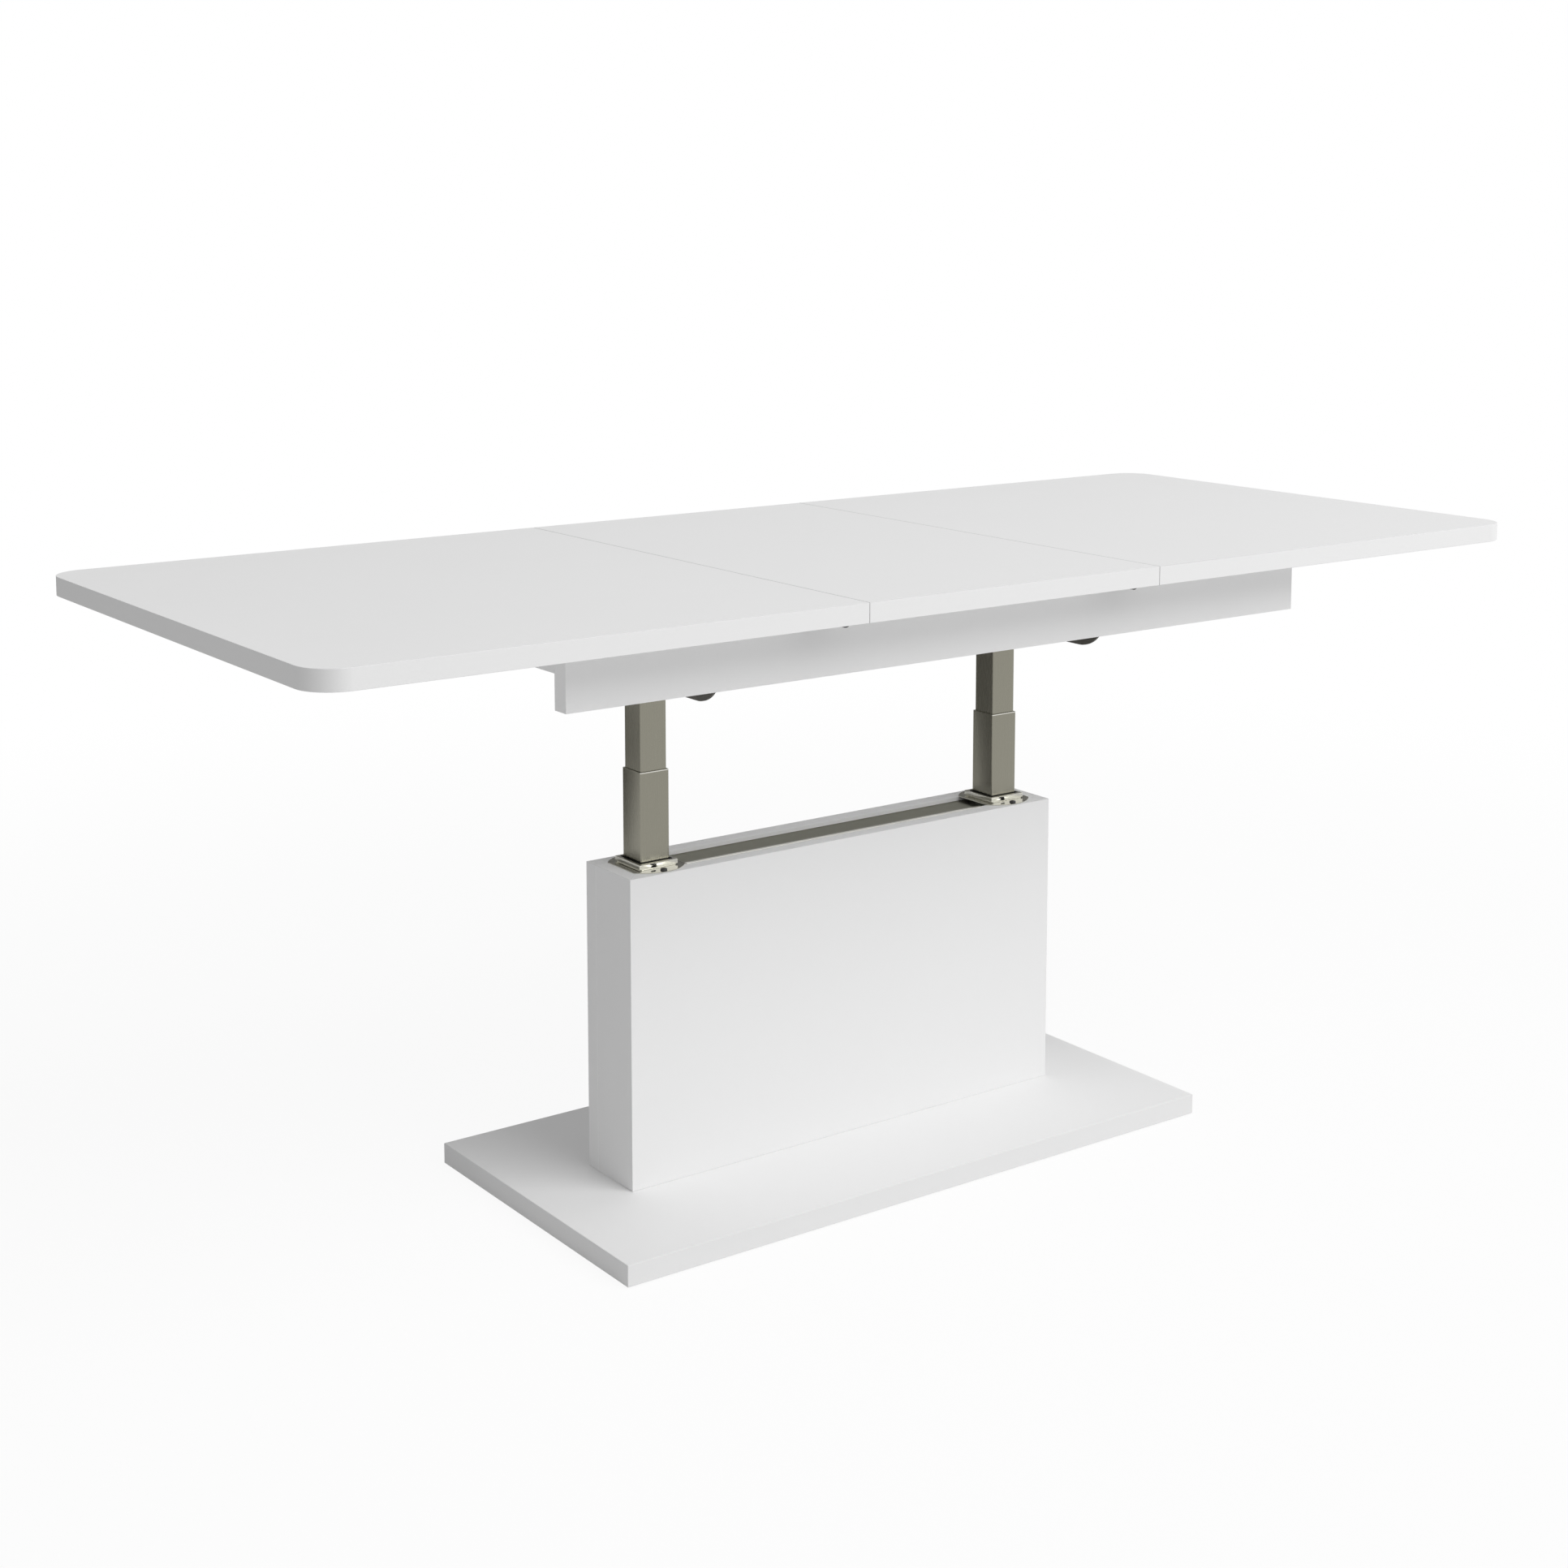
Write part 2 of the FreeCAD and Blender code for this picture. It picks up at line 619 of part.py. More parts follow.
# End leaves with their sliders, screws and seam supports
def make_end_leaves():
    head, stem = "slider_width / 2", "runner_slot / 2 - slider_side_play"
    neck, top = "slider_head_thick", "slider_depth"
    half = [(head, "0"), (head, neck), (stem, neck), (stem, top)]
    section = half + [(times(-1, u), v) for u, v in reversed(half)]
    near = "seam_x + slider_setback + slider_screw_margin"
    middle = "seam_x + slider_setback + slider_length / 2"
    far = "seam_x + slider_setback + slider_length - slider_screw_margin"
    for side, sign in SIDES.items():
        make_end_leaf(side, sign, [near, middle, far])
        start = "seam_x + slider_setback" if sign > 0 else "-(seam_x + slider_setback + slider_length)"
        for end, way in ENDS.items():
            slider = Piece(f"{side}_{end}_slider", "0", times(way, "runner_offset"), "slider_level")
            slider.pad(outline(slider.sketch("YZ", start), section), "slider_length")
            places = [(times(sign, x), "0") for x in (near, middle, far)]
            slider.pocket(circles(slider.sketch("XY"), hole("screw_shank"), places), "slider_depth", True)
            recess = circles(slider.sketch("XY"), "screw_head + 2 * screw_play", places)
            slider.pocket(recess, "counterbore", True)
        places = grid([times(sign, x) for x in (near, middle, far)], both("runner_offset"))
        screws(f"{side}_slider_screws", "screw_shank", "screw_head", "screw_head_height",
               "slider_depth - counterbore + screw_bite", [("slider_level + counterbore", places, True)])
        make_seam_supports(side, sign)


def make_end_leaf(side, sign, screw_xs):
    """Outer leaf with two rounded corners and softened edges, drilled from below."""
    centre = "seam_x + end_leaf_length / 2 + seam_gap / 4"
    length = "end_leaf_length - seam_gap / 2"
    leaf = board(f"{side}_leaf", length, "top_width", "leaf_thick",
                 times(sign, centre), "0", "leaf_underside")
    leaf.fillet("leaf_corner", lambda edge: is_upright(edge) and edge.BoundBox.Center.x * sign > 0)
    seam = -sign * number(length) / 2
    leaf.fillet("edge_round", lambda edge: is_level(edge) and not lies_at(edge, seam))
    places = grid([times(sign, f"{x} - ({centre})") for x in screw_xs], both("runner_offset"))
    pilot = circles(leaf.sketch("XY"), hole("screw_shank"), places)
    leaf.pocket(pilot, "screw_bite + counterbore_rest", True)


def is_level(edge):
    """Whether an edge lies in a level plane."""
    return edge.BoundBox.ZLength < FIT


def lies_at(edge, x):
    """Whether an edge lies in the upright plane across the table at x."""
    box = edge.BoundBox
    return box.XLength < FIT and abs(box.XMin - x) < FIT


def make_seam_supports(side, sign):
    """Rounded block under the seam at each edge, held on the end leaf and reaching under the insert."""
    supports = Piece(f"{side}_seam_supports", times(sign, "seam_x"), "0", "leaf_underside")
    reach, drop = "seam_support_width / 2", "-seam_support_depth"
    seam, play = "seam_gap / 2", "-seam_support_play"
    tail = "seam_support_width / 2 + seam_support_flange"
    corners = [(times(-1, reach), drop), (reach, drop), (reach, "-seam_support_sheet"),
               (tail, "-seam_support_sheet"), (tail, "0"), (seam, "0"), (seam, play),
               (times(-1, reach), play)]
    near = "frame_width / 2 + seam_support_gap"
    for start in (f"{near} + seam_support_length", times(-1, near)):
        section = outline(supports.sketch("XZ", start), [(times(sign, u), v) for u, v in corners])
        supports.pad(section, "seam_support_length", True)
    lowest = FIT - number("seam_support_depth")
    supports.fillet("seam_support_round", lambda edge: is_along_depth(edge) and edge.BoundBox.ZMin < lowest)


def is_along_depth(edge):
    """Whether an edge runs straight along Y."""
    box = edge.BoundBox
    return box.XLength + box.ZLength < FIT


# Insert leaf lying loose on the rails
def make_insert_leaf():
    leaf = board("insert_leaf", "insert_pitch - seam_gap", "top_width", "leaf_thick", z="leaf_underside")
    leaf.fillet("edge_round", lambda edge: is_level(edge) and not is_along_depth(edge))


def check_document():
    """Stop on any failed object, empty shape or cut that removed nothing."""
    doc.recompute()
    for item in doc.Objects:
        if "Invalid" in item.State or "Error" in item.State:
            raise RuntimeError(f"{item.Label}: {item.State}")
        if item.TypeId == "PartDesign::Pocket" and item.Shape.Volume >= item.BaseFeature.Shape.Volume:
            raise RuntimeError(f"{item.Label} cuts nothing")
    for body in Piece.made:
        if body.Shape.isNull() or not body.Shape.isValid() or not body.Shape.Solids:
            raise RuntimeError(f"{body.Label}: no valid solid")


def write_parts():
    """Write one file per piece."""
    os.makedirs("parts", exist_ok=True)
    for body in Piece.made:
        body.Shape.exportStep(f"parts/{body.Label}.step")
        print(body.Label, len(body.Shape.Solids), round(body.Shape.Volume))


make_base()
make_pedestal()
make_pedestal_steel()
make_collars()
make_columns()
make_gas_springs()
make_arms()
make_frame()
make_runners()
make_end_leaves()
make_insert_leaf()
check_document()
write_parts()
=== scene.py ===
"""Looks of the convertible table: finishes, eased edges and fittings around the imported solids."""

import json
import logging
import math
from contextlib import contextmanager
from dataclasses import dataclass, field
from enum import Enum
from typing import Callable, Iterator, Union

import bmesh
import bpy
from mathutils import Matrix, Vector

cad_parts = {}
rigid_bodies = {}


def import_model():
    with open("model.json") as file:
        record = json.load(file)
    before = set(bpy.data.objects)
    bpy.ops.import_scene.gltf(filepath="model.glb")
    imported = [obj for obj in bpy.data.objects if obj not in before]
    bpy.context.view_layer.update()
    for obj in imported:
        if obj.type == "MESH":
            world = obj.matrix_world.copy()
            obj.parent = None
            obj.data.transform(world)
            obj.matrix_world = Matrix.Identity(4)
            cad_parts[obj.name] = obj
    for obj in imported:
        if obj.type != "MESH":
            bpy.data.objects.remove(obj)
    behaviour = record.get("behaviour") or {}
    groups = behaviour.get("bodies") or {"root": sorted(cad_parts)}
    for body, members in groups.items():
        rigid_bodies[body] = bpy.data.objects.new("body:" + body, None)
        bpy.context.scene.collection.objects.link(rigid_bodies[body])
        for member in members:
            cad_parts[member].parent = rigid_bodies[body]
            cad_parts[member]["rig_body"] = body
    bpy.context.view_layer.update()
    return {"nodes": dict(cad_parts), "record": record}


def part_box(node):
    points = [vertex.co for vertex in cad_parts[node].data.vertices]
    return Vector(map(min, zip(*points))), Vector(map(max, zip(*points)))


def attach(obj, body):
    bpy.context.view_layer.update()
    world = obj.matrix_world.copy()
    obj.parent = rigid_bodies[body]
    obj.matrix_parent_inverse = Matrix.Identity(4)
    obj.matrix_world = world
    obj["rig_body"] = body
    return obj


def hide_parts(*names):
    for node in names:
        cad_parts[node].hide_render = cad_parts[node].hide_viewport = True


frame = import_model()
log = logging.getLogger("table")

Pair = tuple[float, float]
Triple = tuple[float, float, float]
Colour = Triple
Value = Union["Signal", float, tuple]

# Distance in metres under which points are one
MERGE = 1e-6
# Least upright part of the normal of a level face
LEVEL = 0.98
# Angles in degrees between which an edge counts as square
SQUARE = (35.0, 100.0)
# Angle in degrees under which two faces are one flat face
FLAT = 0.2
# Least distance in metres from the middle plane of a wall that faces it
INSIDE = 0.01
WHITE = (1.0, 1.0, 1.0, 1.0)


class Signal:
    """An output of a node that takes part in Python arithmetic."""

    def __init__(self, sheet: "NodeSheet", socket: bpy.types.NodeSocket) -> None:
        """Keep the socket and the sheet that adds nodes to it."""
        self.sheet = sheet
        self.socket = socket

    def _math(self, operation: str, first: Value, second: Value = 0.0) -> "Signal":
        """Add one Math node on two values."""
        return self.sheet.node("ShaderNodeMath", {"operation": operation}, {0: first, 1: second})

    def __add__(self, other: Value) -> "Signal":
        """Sum."""
        return self._math("ADD", self, other)

    def __sub__(self, other: Value) -> "Signal":
        """Difference."""
        return self._math("SUBTRACT", self, other)

    def __rsub__(self, other: Value) -> "Signal":
        """Difference from a plain number."""
        return self._math("SUBTRACT", other, self)

    def __mul__(self, other: Value) -> "Signal":
        """Product."""
        return self._math("MULTIPLY", self, other)

    def __or__(self, other: Value) -> "Signal":
        """Larger of two masks."""
        return self._math("MAXIMUM", self, other)

    __radd__ = __add__
    __rmul__ = __mul__


class NodeSheet:
    """A node tree that is filled by one node-making method."""

    def __init__(self, tree: bpy.types.NodeTree) -> None:
        """Start from an empty tree."""
        self.tree = tree
        tree.nodes.clear()

    def node(self, kind: str, settings: dict[str, object], inputs: dict[str | int, Value],
             output: str | int = 0) -> Signal:
        """Make a node, set it up and feed its sockets.

        Args:
            kind: Node type.
            settings: Properties of the node, such as a Math node's operation.
            inputs: Values or signals by socket name or number.
            output: Socket to hand on.

        Returns:
            The chosen output, or the node's first one.
        """
        made = self.tree.nodes.new(kind)
        for name, value in settings.items():
            setattr(made, name, value)
        for key, value in inputs.items():
            if isinstance(value, Signal):
                self.tree.links.new(value.socket, made.inputs[key])
            else:
                made.inputs[key].default_value = value
        return Signal(self, made.outputs[output]) if made.outputs else None

    def mix_shaders(self, factor: Value, first: Signal, second: Signal) -> Signal:
        """Blend two shaders by a factor."""
        return self.node("ShaderNodeMixShader", {}, {0: factor, 1: first, 2: second})

    def seen_directly(self) -> Signal:
        """Mask of the rays that show the surroundings: camera, glossy and transmission rays.

        Returns:
            One for such a ray, otherwise nought.
        """
        masks = [self.node("ShaderNodeLightPath", {}, {}, name)
                 for name in ("Is Camera Ray", "Is Glossy Ray", "Is Transmission Ray")]
        return masks[0] | masks[1] | masks[2]


class Recipe(NodeSheet):
    """A material built from patterns in the object's own coordinates."""

    def __init__(self, name: str) -> None:
        """Make an empty material of that name.

        Args:
            name: Name of the material.
        """
        self.material = bpy.data.materials.new(name)
        self.material.use_nodes = True
        super().__init__(self.material.node_tree)
        self.place = self.node("ShaderNodeTexCoord", {}, {}, "Object")

    def stretched(self, stretch: Triple) -> Signal:
        """Object coordinates multiplied along each axis."""
        return self.node("ShaderNodeVectorMath", {"operation": "MULTIPLY"}, {0: self.place, 1: stretch})

    def noise(self, stretch: Triple, detail: float = 3.0, rough: float = 0.5) -> Signal:
        """Cloudy pattern from 0 to 1.

        Args:
            stretch: Waves per metre along each axis.
            detail: Number of finer octaves.
            rough: Strength of the finer octaves.

        Returns:
            The pattern's level.
        """
        inputs = {"Vector": self.stretched(stretch), "Scale": 1.0, "Detail": detail, "Roughness": rough}
        return self.node("ShaderNodeTexNoise", {}, inputs, 0)

    def cells(self, scale: float) -> Signal:
        """Random level per crystal cell, from 0 to 1."""
        cell = self.node("ShaderNodeTexVoronoi", {}, {"Vector": self.place, "Scale": scale}, "Color")
        return self.node("ShaderNodeSeparateColor", {}, {"Color": cell}, "Red")

    def contrast(self, level: Signal, low: float, high: float) -> Signal:
        """Stretch a pattern so that low becomes 0 and high becomes 1."""
        return self.node("ShaderNodeMapRange", {"clamp": True},
                         {"Value": level, "From Min": low, "From Max": high})

    def tint(self, level: Signal, colour: Colour, tones: Pair) -> Signal:
        """Multiply a colour by a tone between two, which a level chooses.

        Args:
            level: Pattern from 0 to 1.
            colour: Colour at a tone of 1.
            tones: Tone at level 0 and at level 1.

        Returns:
            The varied colour.
        """
        dark, light = (tuple(part * tone for part in colour) for tone in tones)
        inputs = {0: level, 6: (*dark, 1.0), 7: (*light, 1.0)}
        return self.node("ShaderNodeMix", {"data_type": "RGBA"}, inputs, 2)

    def bump(self, height: Signal, depth: float) -> Signal:
        """Normal of a relief of that depth in metres."""
        return self.node("ShaderNodeBump", {}, {"Strength": 1.0, "Distance": depth, "Height": height})

    def finish(self, **sockets: Value) -> bpy.types.Material:
        """Close the material with a Principled shader.

        Args:
            **sockets: Socket names in lower case with _ for blanks, and their values.

        Returns:
            The finished material.
        """
        inputs = {name.replace("_", " ").title().replace("Ior", "IOR"): value
                  for name, value in sockets.items()}
        shader = self.node("ShaderNodeBsdfPrincipled", {}, inputs)
        self.node("ShaderNodeOutputMaterial", {}, {"Surface": shader})
        return self.material


class Grain(Enum):
    """Waves per metre of drawn or brushed lines along one axis."""

    UPRIGHT = (2600.0, 2600.0, 9.0)
    LENGTHWISE = (9.0, 2600.0, 2600.0)
    CROSSWISE = (2600.0, 9.0, 2600.0)


@dataclass(frozen=True)
class Laminate:
    """Matt white board facing with a faint pearl texture."""

    name: str
    colour: Colour = (0.86, 0.86, 0.86)
    roughness: float = 0.6
    gloss: float = 0.35
    pearl_waves: float = 1500.0
    pearl_depth: float = 1.5e-5
    cloud_waves: float = 5.0
    cloud_tones: Pair = (0.99, 1.005)
    rub_waves: float = 22.0
    roughness_fall: float = 0.04
    rub_rise: float = 0.05
    pearl_rise: float = 0.04

    def make(self) -> bpy.types.Material:
        """Build the material.

        Returns:
            The new material.
        """
        recipe = Recipe(self.name)
        pearl = recipe.noise((self.pearl_waves,) * 3, detail=2.0)
        clouds = recipe.noise((self.cloud_waves,) * 3, detail=4.0)
        rubbed = recipe.noise((self.rub_waves,) * 3)
        colour = recipe.tint(clouds, self.colour, self.cloud_tones)
        roughness = self.roughness - self.roughness_fall + self.rub_rise * rubbed + self.pearl_rise * pearl
        return recipe.finish(base_color=colour, roughness=roughness, specular_ior_level=self.gloss,
                             normal=recipe.bump(pearl, self.pearl_depth))


@dataclass(frozen=True)
class DrawnMetal:
    """Plated or drawn metal with fine lines along its grain."""

    name: str
    colour: Colour
    grain: Grain
    roughness: float = 0.36
    rim: Colour = (1.0, 1.0, 1.0)
    line_depth: float = 4.0e-6
    line_contrast: float = 0.04
    line_span: Pair = (0.3, 0.7)
    cloud_waves: float = 11.0
    roughness_fall: float = 0.05
    line_rise: float = 0.05
    cloud_rise: float = 0.05

    def make(self) -> bpy.types.Material:
        """Build the material.

        Returns:
            The new material.
        """
        recipe = Recipe(self.name)
        lines = recipe.noise(self.grain.value, detail=4.0, rough=0.6)
        clouds = recipe.noise((self.cloud_waves,) * 3)
        level = recipe.contrast(lines, *self.line_span)
        colour = recipe.tint(level, self.colour, (1.0 - self.line_contrast, 1.0 + self.line_contrast))
        roughness = self.roughness - self.roughness_fall + self.line_rise * level + self.cloud_rise * clouds
        return recipe.finish(base_color=colour, roughness=roughness, metallic=1.0,
                             specular_tint=(*self.rim, 1.0), normal=recipe.bump(lines, self.line_depth))


@dataclass(frozen=True)
class ZincPlate:
    """Bright zinc plate with small crystals."""

    name: str
    colour: Colour = (0.60, 0.61, 0.63)
    roughness: float = 0.26
    crystals: float = 420.0
    crystal_tones: Pair = (0.9, 1.06)
    crystal_rise: float = 0.1
    haze_waves: float = 70.0
    haze_depth: float = 1.0e-5
    haze_rise: float = 0.14

    def make(self) -> bpy.types.Material:
        """Build the material.

        Returns:
            The new material.
        """
        recipe = Recipe(self.name)
        crystal = recipe.cells(self.crystals)
        haze = recipe.noise((self.haze_waves,) * 3, detail=4.0)
        colour = recipe.tint(crystal, self.colour, self.crystal_tones)
        roughness = self.roughness + self.crystal_rise * crystal + self.haze_rise * haze
        return recipe.finish(base_color=colour, roughness=roughness, metallic=1.0,
                             normal=recipe.bump(haze, self.haze_depth))


@dataclass(frozen=True)
class Coating:
    """Paint or moulded plastic with an orange-peel or spark-eroded skin."""

    name: str
    colour: Colour
    roughness: float
    peel_waves: float
    peel_depth: float
    gloss: float = 0.5
    wear_waves: float = 38.0
    wear_tones: Pair = (0.88, 1.12)
    roughness_fall: float = 0.08
    wear_rise: float = 0.1
    peel_rise: float = 0.06

    def make(self) -> bpy.types.Material:
        """Build the material.

        Returns:
            The new material.
        """
        recipe = Recipe(self.name)
        peel = recipe.noise((self.peel_waves,) * 3, detail=2.0)
        wear = recipe.noise((self.wear_waves,) * 3, detail=4.0)
        colour = recipe.tint(wear, self.colour, self.wear_tones)
        roughness = self.roughness - self.roughness_fall + self.wear_rise * wear + self.peel_rise * peel
        return recipe.finish(base_color=colour, roughness=roughness, specular_ior_level=self.gloss,
                             normal=recipe.bump(peel, self.peel_depth))


@dataclass(frozen=True)
class Chrome:
    """Ground and chromed round rod with hair-fine rings."""

    name: str
    colour: Colour = (0.75, 0.76, 0.78)
    roughness: float = 0.06
    rings: float = 2600.0
    drift_waves: float = 40.0
    ring_depth: float = 2.0e-6
    ring_tones: Pair = (0.96, 1.02)
    ring_rise: float = 0.08

    def make(self) -> bpy.types.Material:
        """Build the material.

        Returns:
            The new material.
        """
        recipe = Recipe(self.name)
        ring = recipe.noise((self.drift_waves, self.drift_waves, self.rings), detail=2.0)
        colour = recipe.tint(ring, self.colour, self.ring_tones)
        roughness = self.roughness + self.ring_rise * ring
        return recipe.finish(base_color=colour, roughness=roughness, metallic=1.0,
                             normal=recipe.bump(ring, self.ring_depth))


class Finish(Enum):
    """Every finish on the table."""

    FACING = Laminate("white_facing")
    # Edge band: a darker copy of the facing on every side face and round of a board, as painted shade
    EDGE_BAND_SHADED = Laminate("white_edge_band_painted_shade", colour=(0.8, 0.8, 0.8), pearl_waves=900.0)
    # Grey on the faces where two leaves meet: painted shade in the seam between the leaves
    SEAM_SHADE = Laminate("grey_seam_painted_shade", colour=(0.58, 0.58, 0.58), pearl_waves=900.0)
    # A lighter copy of the facing on the pedestal panels' tops and inner faces: painted light where the
    # tabletop's shade falls
    TOP_LIGHT = Laminate("white_painted_light", colour=(0.96, 0.96, 0.96), pearl_waves=900.0)
    # A dark copy of the nickel on the tubes: painted shade that stands in for darker surroundings seen in
    # them
    NICKEL_TUBE_SHADED = DrawnMetal("satin_nickel_tube_painted_shade", (0.272, 0.263, 0.216), Grain.UPRIGHT, roughness=0.26,
                             line_depth=6.0e-7, line_contrast=0.02)
    # A bright copy of the nickel on the front- and back-facing faces of the outer tubes' top rims: a painted
    # highlight
    NICKEL_RIM_HIGHLIGHT = DrawnMetal("satin_nickel_rim_painted_highlight", (0.66, 0.65, 0.6), Grain.UPRIGHT, roughness=0.22,
                            line_depth=1.0e-6)
    # A dark copy of the nickel on the channel, its grazing tint lowered too: painted shade for the dark
    # reflections in it
    NICKEL_STRIP_SHADED = DrawnMetal("satin_nickel_strip_painted_shade", (0.27, 0.266, 0.2322), Grain.LENGTHWISE, roughness=0.36,
                              rim=(0.66, 0.66, 0.62))
    # A bright copy of the nickel on the channel's lip tops: a painted highlight
    NICKEL_LIP_HIGHLIGHT = DrawnMetal("satin_nickel_lip_painted_highlight", (0.72, 0.71, 0.67), Grain.LENGTHWISE, roughness=0.3)
    NICKEL_COLLAR = DrawnMetal("polished_nickel_collar", (0.8, 0.788, 0.72), Grain.CROSSWISE, roughness=0.14,
                               line_depth=1.0e-6)
    # A darker copy of the collar's nickel on the flanges: painted shade against the bright backdrop they
    # reflect
    NICKEL_FLANGE_SHADED = DrawnMetal("polished_nickel_flange_painted_shade", (0.6, 0.594, 0.54), Grain.CROSSWISE, roughness=0.12,
                               line_depth=1.0e-6)
    DARK_STEEL = Coating("dark_powder_coat", (0.07, 0.066, 0.055), 0.5, 2200.0, 2.0e-5)
    # Blackened steel of the flange screws, also laid inside the collars' slot as painted shade
    DARK_SCREW_AND_SLOT_SHADE = Coating("blackened_steel_and_slot_shade", (0.022, 0.022, 0.022), 0.42, 3000.0, 8.0e-6)
    ZINC = ZincPlate("bright_zinc")
    ALUMINIUM = DrawnMetal("drawn_aluminium", (0.70, 0.71, 0.72), Grain.LENGTHWISE, roughness=0.34)
    BLACK_PAINT = Coating("black_enamel", (0.02, 0.02, 0.021), 0.3, 600.0, 1.2e-5)
    CHROME = Chrome("hard_chrome")
    BLACK_PLASTIC = Coating("black_plastic", (0.012, 0.012, 0.012), 0.55, 1800.0, 1.5e-5, gloss=0.25)
    BLACK_RUBBER = Coating("black_rubber", (0.006, 0.006, 0.006), 0.8, 2400.0, 1.5e-5, gloss=0.08)
    GREY_PLASTIC = Coating("grey_plastic", (0.11, 0.11, 0.11), 0.5, 1800.0, 1.5e-5)

    @property
    def material(self) -> bpy.types.Material:
        """The finish's material, made at its first use."""
        return bpy.data.materials.get(self.value.name) or self.value.make()


class Facing(Enum):
    """Turn about X, in degrees, that points a screw head a given way."""

    UP = 0.0
    DOWN = 180.0
    FRONT = 90.0
    BACK = -90.0


class Drive(Enum):
    """Recess in a screw head."""

    CROSS = "cross"
    HEXAGON = "hexagon"


@dataclass(frozen=True)
class Extent:
    """Box of one solid, in metres."""

    low: Vector
    high: Vector

    @property
    def middle(self) -> Vector:
        """Centre of the box."""
        return (self.low + self.high) / 2

    @property
    def size(self) -> Vector:
        """Lengths of the box."""
        return self.high - self.low


class Workpiece:
    """One mesh on the bench, shaped by operators and then fixed to a body."""

    def __init__(self, obj: bpy.types.Object, name: str) -> None:
        """Take an object over and name it.

        Args:
            obj: Mesh object.
            name: Name for the object and its mesh.
        """
        self.obj = obj
        obj.name = name
        obj.data.name = name

    @classmethod
    def block(cls, name: str, extent: Extent) -> "Workpiece":
        """Start from a cube stretched over an extent.

        Args:
            name: Name of the piece.
            extent: Box that it fills.

        Returns:
            The new piece.
        """
        clear_selection()
        bpy.ops.mesh.primitive_cube_add(size=1.0, location=extent.middle, scale=extent.size)
        return cls(bpy.context.object, name).settle()

    @classmethod
    def cylinder(cls, name: str, radius: float, extent: tuple[float, float], sides: int) -> "Workpiece":
        """Start from an upright cylinder on the Z axis.

        Args:
            name: Name of the piece.
            radius: Radius of its corners.
            extent: Lowest and highest level.
            sides: Number of sides.

        Returns:
            The new piece.
        """
        low, high = extent
        clear_selection()
        bpy.ops.mesh.primitive_cylinder_add(vertices=sides, radius=radius, depth=high - low,
                                            location=(0.0, 0.0, (low + high) / 2))
        return cls(bpy.context.object, name).settle()

    @classmethod
    def copy_of(cls, node: str, name: str) -> "Workpiece":
        """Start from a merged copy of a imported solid, with its flat faces made whole.

        Args:
            node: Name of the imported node.
            name: Name of the copy.

        Returns:
            The copy, in place.
        """
        obj = bpy.data.objects.new(name, frame["nodes"][node].data.copy())
        bpy.context.scene.collection.objects.link(obj)
        piece = cls(obj, name)
        with piece.editing():
            bpy.ops.mesh.select_all(action="SELECT")
            bpy.ops.mesh.remove_doubles(threshold=MERGE)
            bpy.ops.mesh.dissolve_limited(angle_limit=math.radians(FLAT))
        return piece

    @contextmanager
    def editing(self) -> Iterator[None]:
        """Hold the piece in edit mode.

        Returns:
            A context in which the operators act on the piece.
        """
        self.activate()
        bpy.ops.object.mode_set(mode="EDIT")
        yield
        bpy.ops.object.mode_set(mode="OBJECT")

    def activate(self) -> None:
        """Make the piece the only selected object."""
        clear_selection()
        self.obj.select_set(True)
        bpy.context.view_layer.objects.active = self.obj

    def slice(self, place: Triple, outward: Triple, trim: bool = False) -> "Workpiece":
        """Divide the faces that cross a plane.

        Args:
            place: Point on the plane.
            outward: Normal of the plane.
            trim: Whether what lies beyond it is cut away and the cut closed.

        Returns:
            The piece itself.
        """
        with self.editing():
            bpy.ops.mesh.select_all(action="SELECT")
            bpy.ops.mesh.bisect(plane_co=place, plane_no=outward, use_fill=trim, clear_outer=trim)
        return self

    def raise_top(self, level: float, height: float) -> "Workpiece":
        """Lift the faces above a level, which stretches the walls below them.

        Args:
            level: Level that all corners of a lifted face lie above.
            height: How far they go up.

        Returns:
            The piece itself.
        """
        with self.editing():
            self.pick_faces(lambda face: min(corner.co.z for corner in face.verts) > level)
            bpy.ops.transform.translate(value=(0.0, 0.0, height))
        return self

    def settle(self) -> "Workpiece":
        """Move the object's place into its mesh.

        Returns:
            The piece itself.
        """
        self.activate()
        bpy.ops.object.transform_apply(location=True, rotation=True, scale=True)
        return self

    def pick_faces(self, wanted: Callable[[bmesh.types.BMFace], bool]) -> None:
        """Select, in edit mode, the faces that a test wants."""
        bpy.ops.mesh.select_mode(type="FACE")
        self._pick("faces", wanted)

    def pick_edges(self, wanted: Callable[[bmesh.types.BMEdge], bool]) -> None:
        """Select, in edit mode, the edges that a test wants."""
        bpy.ops.mesh.select_mode(type="EDGE")
        self._pick("edges", wanted)

    def _pick(self, kind: str, wanted: Callable[[object], bool]) -> None:
        """Set the selection of one kind of element.

        Args:
            kind: Which elements, as bmesh names them.
            wanted: Test for one element.
        """
        bpy.ops.mesh.select_all(action="DESELECT")
        mesh = bmesh.from_edit_mesh(self.obj.data)
        for element in getattr(mesh, kind):
            if wanted(element):
                element.select_set(True)
        bmesh.update_edit_mesh(self.obj.data)

    def ease(self, width: float, shortest: float, segments: int = 2) -> "Workpiece":
        """Break the square edges with a small round.

        Args:
            width: Width of the round.
            shortest: Edges shorter than this, as round a drilled hole, stay sharp.
            segments: Facets across it.

        Returns:
            The piece itself.
        """
        least, most = (math.radians(limit) for limit in SQUARE)

        def is_square(edge: bmesh.types.BMEdge) -> bool:
            """Whether an edge is long and about square."""
            return (edge.is_manifold and edge.calc_length() > shortest
                    and least < edge.calc_face_angle() < most)

